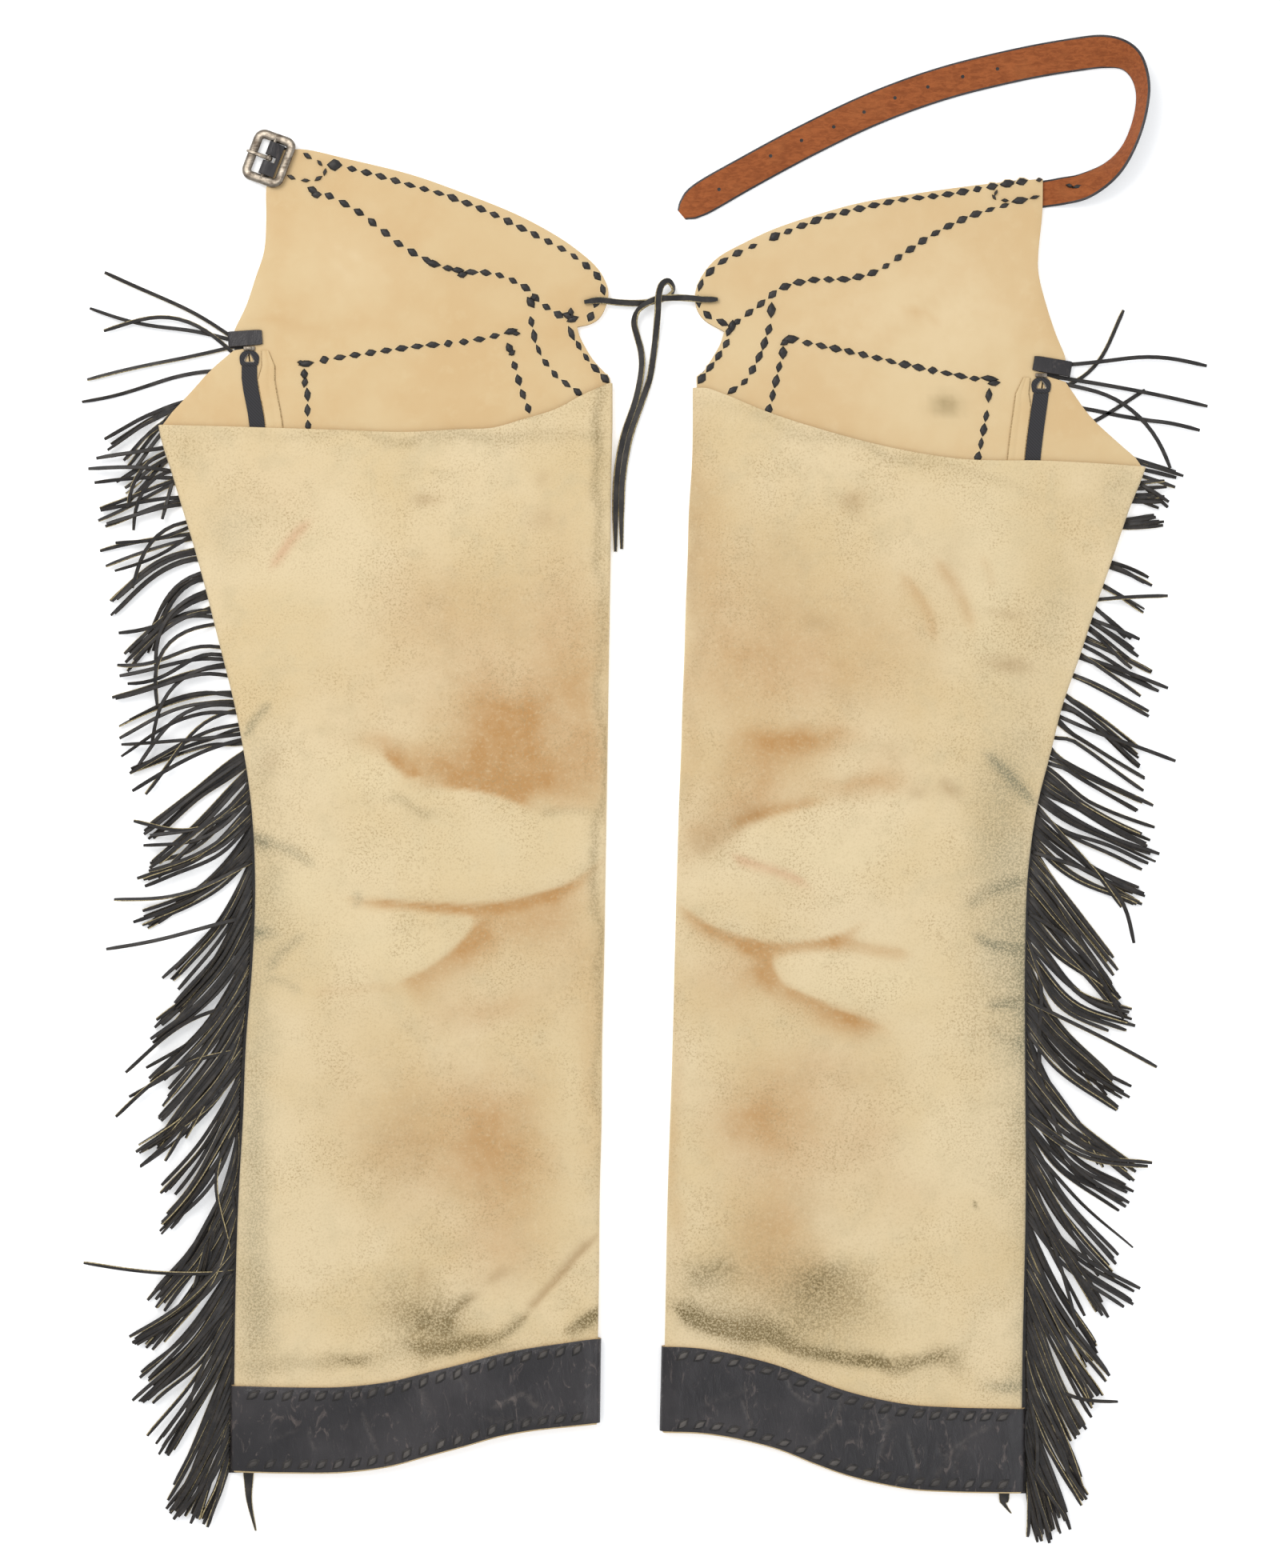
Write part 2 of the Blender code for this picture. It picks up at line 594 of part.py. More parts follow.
def tab_line(side):
    """The tab's inner end, its outer end and the direction from one to the other."""
    inner, outer = (np.array(p) for p in TAB_ENDS[side])
    return inner, outer, (outer - inner) / np.linalg.norm(outer - inner)


def zip_end_top(side):
    """The middle of the top of the zip's end loop, under the tab and the slider."""
    inner, _, along = tab_line(side)
    x = edge(side, ZIP_TOP[side], "zip")
    tab_y = inner[1] + along[1] / along[0] * (x - inner[0])
    tab_foot = tab_y - TAB_WIDTH / 2 - abs(along[1]) * SLIDER_SIZE[0] / 2 - TOUCH
    return x, tab_foot - SLIDER_SIZE[1] - TOUCH


def make_tape(side):
    """The zip's tape, over the slit from the end loop to the hem."""
    heights = np.linspace(ZIP_TOP[side], STRIP_BOTTOM[side] + TAPE_ABOVE_HEM, ZIP_STEPS)
    path = [(edge(side, y, "zip"), y, ON_TOP + TAPE_THICK / 2) for y in heights]
    across, widths = [(1, 0, 0)] * len(path), [TAPE_WIDTH] * len(path)
    ribbon(f"zip_tape_{side}", path, across, widths, TAPE_THICK, "black_tape")


def make_facing(side):
    """The leather facing on the front, beside the tape."""
    s = SIGN[side]
    bottom = STRIP_BOTTOM[side] + FACING_ABOVE_HEM
    heights = [zip_end_top(side)[1], *np.linspace(ZIP_TOP[side], bottom, ZIP_STEPS)]
    path, widths = [], []
    for i, y in enumerate(heights):
        starts = LOOP_SIZE[0] / 2 + LOOP_ROOM if i < 2 else TAPE_WIDTH / 2
        ends = FACING_TOP if i == 0 else FACING_EDGE
        middle = edge(side, y, "zip") - s * (starts + TOUCH + ends) / 2
        path.append((middle, y, ON_TOP + FACING_THICK / 2))
        widths.append(ends - starts - TOUCH)
    ribbon(f"zip_facing_{side}", path, [(1, 0, 0)] * len(path), widths, FACING_THICK, "smooth_tan")


def make_tab(side):
    """The black tab over the zip's top end, turned down over the leather's edge."""
    inner, outer, along = tab_line(side)
    lift = ON_TOP + TAB_THICK / 2
    path = [(*inner, lift), (*(inner + outer) / 2, lift), (*outer, lift)]
    path += [(*(outer + reach * along), lift - drop) for reach, drop in TAB_BENDS]
    across = (-along[1], along[0], 0)
    ribbon(f"fringe_tab_{side}", path, [across] * len(path), [TAB_WIDTH] * len(path), TAB_THICK, "black")


def make_zip_end(side):
    """The loop in which the zip's tapes part, and the slider above it."""
    x, top = zip_end_top(side)
    half, tall = LOOP_SIZE[0] / 2, LOOP_SIZE[1]
    foot, middle_y = top - tall, top - LOOP_WIDEST * tall
    loop = ((x - LOOP_NECK, top), (x + LOOP_NECK, top), (x + half, middle_y), (x + half - LOOP_TAPER, foot),
            (x - half + LOOP_TAPER, foot), (x - half, middle_y), (x - LOOP_NECK, top))
    gap_top, gap_foot, gap_half = LOOP_GAP
    gap = ((x, top - gap_top), (x + gap_half, top - gap_foot), (x - gap_half, top - gap_foot))
    flat_piece(f"zip_end_{side}", (loop,), ON_TOP, LOOP_THICK, "black_tape", holes=(gap,))
    bm = bmesh.new()
    bmesh.ops.create_cube(bm, size=1)
    bmesh.ops.scale(bm, vec=SLIDER_SIZE, verts=bm.verts)
    middle = (x, top + TOUCH + SLIDER_SIZE[1] / 2, ON_TOP + SLIDER_SIZE[2] / 2)
    bmesh.ops.translate(bm, vec=middle, verts=bm.verts)
    slider = finish_mesh(f"zip_slider_{side}", bm, "nickel")
    bevel = slider.modifiers.new("edges", "BEVEL")
    bevel.width = SLIDER_EDGE * MM
    bevel.segments = 2


def strand_rings(side, root, index, angle, under_wrap, length):
    """Rings of four points along one strand, and how wide its root is."""
    s = SIGN[side]
    high = index % 2 == 1
    start = under_wrap + WRAP_CLEAR
    if high:
        stations = (STRAND_ROOT, start, start + STRAND_RISE, *(share * length for share in HIGH_STATIONS))
    else:
        stations = (STRAND_ROOT, *(share * length for share in LOW_STATIONS))
    rings = []
    place = np.array(root, float)
    walked = 0.0
    for station in sorted(stations):
        bend = min(1, DROOP[0] + (1 - DROOP[0]) * station / (DROOP[1] * length))
        turn = math.radians(angle * bend)
        ahead = np.array((s * math.cos(turn), -math.sin(turn)))
        place = place + ahead * (station - walked)
        walked = station
        half = (STRAND_WIDTH + (STRAND_TIP - STRAND_WIDTH) * station / length) / 2
        side_way = np.array((s * math.sin(turn), math.cos(turn))) * half
        z = STRAND_LOW
        if high and station > start:
            z = STRAND_HIGH
        t = STRAND_THICK / 2
        up, down = place + side_way, place - side_way
        rings.append([(*up, z - t), (*down, z - t), (*down, z + t), (*up, z + t)])
    return rings


def make_fringe(side):
    """A narrow strip beside the zip with strands along its outer edge, as one solid."""
    s = SIGN[side]
    chance = np.random.default_rng(CHANCE_START[side])
    top, bottom = STRIP_TOP[side], STRIP_BOTTOM[side]
    count = int((top - bottom) / STRAND_PITCH)
    outer, strands = [], []
    for i in range(count):
        y = top - (i + 0.5) * STRAND_PITCH
        angle = read(FALLS[side], y, "angle") + chance.uniform(-ANGLE_SPREAD, ANGLE_SPREAD)
        half = min(STRAND_WIDTH / math.cos(math.radians(DROOP[0] * angle)), ROOT_SHARE * STRAND_PITCH) / 2
        wrap = max(0, s * (edge(side, y, "outer") - edge(side, y, "strip")))
        if y > ZIP_TOP[side] + BARE_ABOVE:
            wrap = BARE_WRAP
        length = read(FALLS[side], y, "length") * chance.uniform(*LENGTH_SPREAD)
        pair = [(edge(side, v, "strip"), v) for v in (y + half, y - half)]
        outer += pair
        strands.append((len(outer) - 2, strand_rings(side, np.mean(pair, axis=0), i, angle, wrap, length)))
    tail = TAILS[side]
    outline = [(edge(side, top, "strip"), top), *outer, (edge(side, bottom, "strip"), bottom)]
    tail_root = [(x, bottom) for x in ((tail.x1, tail.x2) if side == "left" else (tail.x2, tail.x1))]
    outline += tail_root
    for y in np.linspace(bottom, top, STRIP_STEPS):
        outline.append((edge(side, y, "zip") - s * STRIP_INWARD, y))
    bm = bmesh.new()
    low = [bm.verts.new((x, y, 0)) for x, y in outline]
    high = [bm.verts.new((x, y, STRIP_THICK)) for x, y in outline]
    bm.faces.new(low)
    bm.faces.new(high)
    tail_at = len(outer) + 2
    middle_x = sum(x for x, _ in tail_root) / 2
    tail_rings = []
    for share, half in TAIL_HALVES:
        x = middle_x + (tail.tip_x - middle_x) * share
        y = bottom + (tail.tip_y - bottom) * share
        z = STRAND_LOW - STRAND_THICK / 2, STRAND_LOW + STRAND_THICK / 2
        a, b = x + s * half, x - s * half
        tail_rings.append([(a, y, z[0]), (b, y, z[0]), (b, y, z[1]), (a, y, z[1])])
    chains = {at + 1: rings for at, rings in strands}
    chains[tail_at] = tail_rings
    for i in range(len(outline)):
        j = (i + 1) % len(outline)
        root = [low[i], low[j], high[j], high[i]]
        if i not in chains:
            bm.faces.new(root)
            continue
        for ring in chains[i]:
            nxt = [bm.verts.new(p) for p in ring]
            for k in range(4):
                m = (k + 1) % 4
                bm.faces.new((root[k], root[m], nxt[m], nxt[k]))
            root = nxt
        bm.faces.new(root)
    return finish_mesh(f"fringe_{side}", bm, "black")


def make_belt():
    """The long strap, whose section rolls onto its edge and back."""
    rows = [Strap(*p) for p in smooth(BELT, 2)]
    centres, sides, widths = [], [], []
    flat = np.array([(r.x, r.y) for r in rows])
    ahead = np.gradient(flat, axis=0)
    for row, way in zip(rows, ahead):
        way = way / np.linalg.norm(way)
        roll = math.radians(max(row.roll, 0))
        sides.append((-way[1] * math.cos(roll), way[0] * math.cos(roll), math.sin(roll)))
        widths.append(row.width)
        z = row.width / 2 * math.sin(roll) + LEATHER / 2 * math.cos(roll)
        centres.append((row.x, row.y, z))
    return ribbon("belt_strap", centres, sides, widths, LEATHER, "strap")


def buckle_frame_of_reference(obj, tilt):
    """Puts an object made about the bar's middle where the bar is."""
    obj.location = (BUCKLE_AT[0] * MM, BUCKLE_AT[1] * MM, BAR_HEIGHT * MM)
    obj.rotation_euler = Euler((0, math.radians(tilt), math.radians(BUCKLE_TURN)), "XYZ")


def make_buckle_strap():
    """The left strap's end, folded round the bar, with a slot for the tongue."""
    path = np.array(STRAP_PATH)
    bm = bmesh.new()
    rows = []
    for i, (x, z) in enumerate(path):
        half = STRAP_HALF
        if i >= STRAP_ROUND_FROM:
            half = float(np.interp(x, *zip(*STRAP_ROUND)))
        inner = min(SLOT_HALF, half * SLOT_SHARE)
        rows.append([(x, y, z - BAR_HEIGHT) for y in (-half, -inner, inner, half)])
    verts = [[bm.verts.new(p) for p in row] for row in rows]
    for i, (upper, lower) in enumerate(zip(verts, verts[1:])):
        in_slot = max(path[i][0], path[i + 1][0]) <= SLOT_REACH and i > 0
        for k in (0, 1, 2):
            if not (in_slot and k == 1):
                bm.faces.new((upper[k], upper[k + 1], lower[k + 1], lower[k]))
    strap = thicken(finish_mesh("buckle_strap", bm, "black"), LEATHER)
    buckle_frame_of_reference(strap, 0)
    return strap


def join_solids(obj, other):
    """Joins two solids into one with a union that is applied."""
    union = obj.modifiers.new("join", "BOOLEAN")
    union.operation = "UNION"
    union.object = other
    depsgraph = bpy.context.evaluated_depsgraph_get()
    joined = bpy.data.meshes.new_from_object(obj.evaluated_get(depsgraph))
    obj.modifiers.remove(union)
    obj.data = joined
    bpy.data.objects.remove(other)


def rounded_side(corner_x, corner_y, radius, turns):
    """Points of a rounded rectangle's middle line, with its half sides given."""
    points = []
    for turn in range(4):
        cx = (corner_x - radius) * (1, -1, -1, 1)[turn]
        cy = (corner_y - radius) * (1, 1, -1, -1)[turn]
        for k in range(turns):
            angle = math.radians(90 * turn + 90 * k / (turns - 1))
            points.append((cx + radius * math.cos(angle), cy + radius * math.sin(angle), angle))
    return points


def make_frame():
    """The buckle's rounded frame with the bar across its middle."""
    wide, thick = FRAME_SIDE
    shoulder, flat = FRAME_SHOULDER * thick, wide - FRAME_BEVEL
    section = ((-wide, -thick), (wide, -thick), (wide, shoulder), (flat, thick), (-flat, thick),
               (-wide, shoulder))
    rings = []
    for x, y, angle in rounded_side(*FRAME_HALF, FRAME_CORNER, CORNER_STEPS):
        way = (math.cos(angle), math.sin(angle))
        rings.append([(x + way[0] * a, y + way[1] * a, z) for a, z in section])
    frame = loft("buckle_frame", rings, "nickel", closed=True)
    bm = bmesh.new()
    bmesh.ops.create_cone(bm, cap_ends=True, segments=ROUND_STEPS, radius1=BAR_RADIUS, radius2=BAR_RADIUS,
                          depth=2 * FRAME_HALF[1])
    bmesh.ops.rotate(bm, verts=bm.verts, matrix=Euler((math.radians(90), 0, 0)).to_matrix())
    bar = finish_mesh("bar", bm, "nickel")
    bar.data.update()
    bpy.context.view_layer.update()
    join_solids(frame, bar)
    buckle_frame_of_reference(frame, BUCKLE_TILT)
    return frame


def make_tongue():
    """The tongue, with its ring round the bar and its tip on the frame's far side."""
    thick, wide = TONGUE_RING_SIZE
    rings = []
    for k in range(ROUND_STEPS):
        angle = 2 * math.pi * k / ROUND_STEPS
        way = (math.cos(angle), math.sin(angle))
        ring = []
        for out, across in ((-1, -1), (1, -1), (1, 1), (-1, 1)):
            radius = TONGUE_RING + out * thick / 2
            ring.append((radius * way[0], across * wide / 2, radius * way[1]))
        rings.append(ring)
    tongue = loft("buckle_tongue", rings, "nickel", closed=True)
    path = [(x, 0, z) for x, z, _ in TONGUE_PATH]
    widths = [width for _, _, width in TONGUE_PATH]
    arm = ribbon("arm", path, [(0, 1, 0)] * len(path), widths, TONGUE_THICK, "nickel")
    bpy.context.view_layer.update()
    join_solids(tongue, arm)
    buckle_frame_of_reference(tongue, BUCKLE_TILT)
    return tongue


def make_lace(side):
    """One free lace of the tie, as a soft tube."""
    curve = bpy.data.curves.new(f"lace_{side}", "CURVE")
    curve.dimensions = "3D"
    curve.bevel_depth = LACE_THICK / 2 * MM
    curve.bevel_resolution = 2
    curve.use_fill_caps = True
    points = smooth(LACES[side], 2)
    spline = curve.splines.new("POLY")
    spline.points.add(len(points) - 1)
    for point, place in zip(spline.points, points):
        point.co = (*(place * MM), 1)
    return make_object(f"lace_{side}", curve, "black")


def main():
    for obj in list(bpy.data.objects):
        bpy.data.objects.remove(obj)
    collection = bpy.data.collections.new(NAME)
    bpy.context.scene.collection.children.link(collection)
    for side in SIGN:
        make_leg(side)
        make_cuff(side)
        flat_piece(f"yoke_{side}", YOKES[side], 0, UNDER_TOP, "smooth_tan")
        flat_piece(f"inner_guard_{side}", GUARDS[side], 0, UNDER_TOP, "smooth_tan")
        flat_piece(f"pocket_patch_{side}", PATCHES[side], 0, UNDER_TOP, "smooth_tan", steps=1)
        make_tape(side)
        make_facing(side)
        make_tab(side)
        make_zip_end(side)
        make_fringe(side)
        make_lace(side)
    make_belt()
    make_buckle_strap()
    make_frame()
    make_tongue()


main()
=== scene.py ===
"""The leather chaps dressed for the picture: leather, lacing, fringe, zips, belt and buckle.

Tables are in millimetres in the frame of the solids, plus x to the wearer's right, plus y to the waist.
"""

import math
from collections import namedtuple

import bmesh
import bpy
import numpy as np
from mathutils import Euler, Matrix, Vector
from mathutils.bvhtree import BVHTree
from mathutils.geometry import delaunay_2d_cdt


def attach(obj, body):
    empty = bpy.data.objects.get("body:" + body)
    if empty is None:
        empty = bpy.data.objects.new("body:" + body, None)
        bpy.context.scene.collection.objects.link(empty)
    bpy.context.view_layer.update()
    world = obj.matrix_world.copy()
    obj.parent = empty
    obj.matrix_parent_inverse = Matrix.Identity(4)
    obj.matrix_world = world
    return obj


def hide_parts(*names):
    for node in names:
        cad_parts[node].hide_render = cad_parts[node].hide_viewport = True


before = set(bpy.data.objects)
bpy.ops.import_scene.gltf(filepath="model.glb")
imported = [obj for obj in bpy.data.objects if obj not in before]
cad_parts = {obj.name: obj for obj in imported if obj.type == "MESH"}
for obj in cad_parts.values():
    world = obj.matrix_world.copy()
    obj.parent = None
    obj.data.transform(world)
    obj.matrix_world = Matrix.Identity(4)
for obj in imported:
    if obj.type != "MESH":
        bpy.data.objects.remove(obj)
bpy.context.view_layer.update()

MM = 0.001
SIGN = {"left": -1, "right": 1}

# Leather and layers, as in the solids
LEATHER = 2.0
FRONT_LOW = 1.0
FRONT_RISE = 2.5
FOLD_RADIUS = 1.9
CUFF_OUT = 2.5
INSIDE_TOP = FRONT_LOW + FRONT_RISE + LEATHER / 2
ON_TOP = INSIDE_TOP + 0.3
ZIP_FLAT = 30
ZIP_SLOPE = 65
SLIT = 0.5

Level = namedtuple("Level", "y inner outer strip zip")
LEVELS = {
    "left": (
        Level(311.5, -26.5, -378.5, -320, -308),
        Level(278.5, -26.5, -378.5, -312, -302),
        Level(236, -27.5, -366.5, -313.5, -302),
        Level(174, -28, -348, -315.5, -303),
        Level(112, -29, -332, -313.5, -300.5),
        Level(50, -30, -317, -309.5, -295.5),
        Level(-12, -31, -307, -308, -291.5),
        Level(-74, -32, -303.5, -308, -290),
        Level(-136, -33, -305.5, -310.5, -291.5),
        Level(-198, -34.5, -310.5, -315.5, -296),
        Level(-260, -35, -313, -318.5, -299),
        Level(-322, -36.5, -316.5, -320, -302),
        Level(-384, -37, -318.5, -322, -304),
        Level(-446, -38, -319.5, -324, -306),
        Level(-533, -39, -320, -326, -307),
    ),
    "right": (
        Level(310.5, 35.5, 388, 320, 306.5),
        Level(251.5, 35, 388, 311, 299),
        Level(211, 32.5, 373, 308, 296.5),
        Level(174, 31.5, 360.5, 306, 295),
        Level(136.5, 30, 347.5, 304.5, 293),
        Level(99.5, 29, 335.5, 303.5, 291),
        Level(62.5, 27.5, 322.5, 303.5, 289),
        Level(25, 26.5, 313, 303.5, 288),
        Level(-12, 25, 303.5, 301, 285.5),
        Level(-61.5, 23.5, 296, 298.5, 281),
        Level(-136, 21.5, 293, 296.5, 278.5),
        Level(-198, 20, 293, 296.5, 278),
        Level(-322, 16, 293.5, 297, 278),
        Level(-446, 13.5, 291, 296.5, 277.5),
        Level(-550, 11, 290, 296.5, 277.5),
    ),
}
Rim = namedtuple("Rim", "share y")
BACK_TOP = {
    "left": (
        Rim(0, 312), Rim(0.07, 301), Rim(0.12, 291.5), Rim(0.2, 282.5), Rim(0.26, 276.5),
        Rim(0.34, 275), Rim(0.45, 273), Rim(0.6, 274.5), Rim(0.88, 277.5), Rim(1, 278.5),
    ),
    "right": (
        Rim(0, 307), Rim(0.03, 307), Rim(0.06, 303.5), Rim(0.16, 289), Rim(0.3, 273),
        Rim(0.44, 260.5), Rim(0.58, 252.5), Rim(0.79, 250.5), Rim(0.9, 248.5), Rim(1, 246),
    ),
}
HEM = {
    "left": (
        Rim(0, -495.5), Rim(0.07, -497.5), Rim(0.17, -500.5), Rim(0.27, -505.5), Rim(0.37, -513.5),
        Rim(0.47, -521), Rim(0.57, -528.5), Rim(0.67, -532.5), Rim(0.86, -533.5), Rim(1, -532.5),
    ),
    "right": (
        Rim(0, -502), Rim(0.11, -503), Rim(0.23, -508.5), Rim(0.33, -516), Rim(0.42, -526),
        Rim(0.51, -535), Rim(0.61, -542), Rim(0.69, -546), Rim(0.8, -548), Rim(1, -549),
    ),
}
RAISED_AT = ((0, 1), (0.125, 1), (0.215, 0), (0.84, 0), (0.905, 1), (1, 1))
CUFF_FROM, CUFF_TO = 0.917, 0.998

OUTLINES = {
    "left": {
        "outer": ((-317, 345), (-320, 350.5), (-310.5, 371), (-303, 393.5), (-296.5, 414), (-295, 438.5),
                  (-295, 461.5), (-291.5, 476), (-284.5, 491.5)),
        "top": ((-284.5, 491.5), (-264, 492), (-233, 485), (-184, 473), (-142.5, 458.5), (-101.5, 442),
                (-70.5, 425.5), (-50, 411), (-37.5, 399), (-30.5, 385.5), (-30.5, 375), (-35.5, 363),
                (-43.5, 357), (-54, 354.5)),
        "notch": ((-54, 354.5), (-51, 345), (-42, 329.5), (-31.5, 318)),
        "wrap": ((-320, 336.5), (-337.5, 321.5), (-353, 304.5), (-368, 288.5)),
        "slit": ((-309, 338),),
    },
    "right": {
        "outer": ((319, 324), (324.5, 329.5), (317, 349), (310.5, 368.5), (304, 393.5), (303.5, 412.5),
                  (306.5, 442.5), (307, 469.5)),
        "top": ((307, 469.5), (264.5, 465.5), (215.5, 459), (166.5, 451), (130, 441), (100, 431),
                (76, 420), (56, 409), (44.5, 397), (38, 383.5), (38, 371), (44.5, 360), (60, 351)),
        "notch": ((60, 351), (56, 339.5), (47, 324.5), (40.5, 314.5)),
        "wrap": ((324.5, 312), (343, 286), (363.5, 266.5), (379, 253)),
        "slit": ((307.5, 317),),
    },
}
YOKES = {
    "left": (
        ((-254.5, 489.5), (-233, 485), (-184, 473), (-142.5, 458.5), (-101.5, 442), (-70.5, 425.5),
         (-50, 411), (-37.5, 399), (-30.5, 385.5), (-30.5, 375), (-35.5, 363), (-43.5, 357), (-54, 354.5)),
        ((-54, 354.5), (-67.5, 360.5), (-82, 369), (-95, 380), (-104.5, 386), (-124.5, 393), (-145, 393),
         (-157, 396.5), (-179, 406.5), (-198.5, 420), (-216, 434.5), (-235.5, 445.5), (-260.5, 458.5)),
        ((-260.5, 458.5), (-252.5, 464.5), (-247.5, 473.5), (-249, 483), (-254.5, 489.5)),
    ),
    "right": (
        ((262, 465), (215.5, 459), (166.5, 451), (130, 441), (100, 431), (76, 420), (56, 409),
         (44.5, 397), (38, 383.5), (38, 371), (44.5, 360), (60, 351)),
        ((60, 351), (72, 355.5), (83, 362), (91, 369), (100, 376.5), (109.5, 381.5), (130, 387),
         (153, 388), (176.5, 393.5), (196, 404.5), (215, 418), (234.5, 429.5), (262, 441)),
        ((262, 441), (260, 453), (262, 465)),
    ),
}
GUARDS = {
    "left": (
        ((-94, 377.5), (-82, 366.5), (-67.5, 358), (-55.5, 352.5)),
        ((-55.5, 352.5), (-51, 345), (-42, 329.5), (-31.5, 318)),
        ((-31.5, 318), (-30, 306), (-30, 294)),
        ((-30, 294), (-39.5, 296), (-53.5, 301), (-67.5, 307), (-76.5, 316.5), (-87.5, 337), (-94, 377.5)),
    ),
    "right": (
        ((100, 374), (91, 366.5), (83, 359.5), (72, 353), (61, 349)),
        ((61, 349), (56, 339.5), (47, 324.5), (40.5, 314.5)),
        ((40.5, 314.5), (39, 303), (39.5, 291)),
        ((39.5, 291), (53.5, 296), (70.5, 303), (80.5, 310.5), (91.5, 331.5), (98.5, 352.5), (100, 374)),
    ),
}
PATCHES = {
    "left": (
        ((-269.5, 329.5), (-226, 335.5), (-177.5, 343), (-141, 349.5), (-100, 355)),
        ((-100, 355), (-100, 335), (-92, 309), (-82, 273), (-65.5, 222)),
        ((-65.5, 222), (-266.5, 217)),
        ((-266.5, 217), (-268, 273), (-269.5, 329.5)),
    ),
    "right": (
        ((105, 349.5), (148, 341.5), (195, 330), (230.5, 322.5), (272, 316.5)),
        ((272, 316.5), (267.5, 291.5), (260.5, 254.5), (253, 206)),
        ((253, 206), (77, 220)),
        ((77, 220), (91, 279.5), (99.5, 319.5), (105, 349.5)),
    ),
}

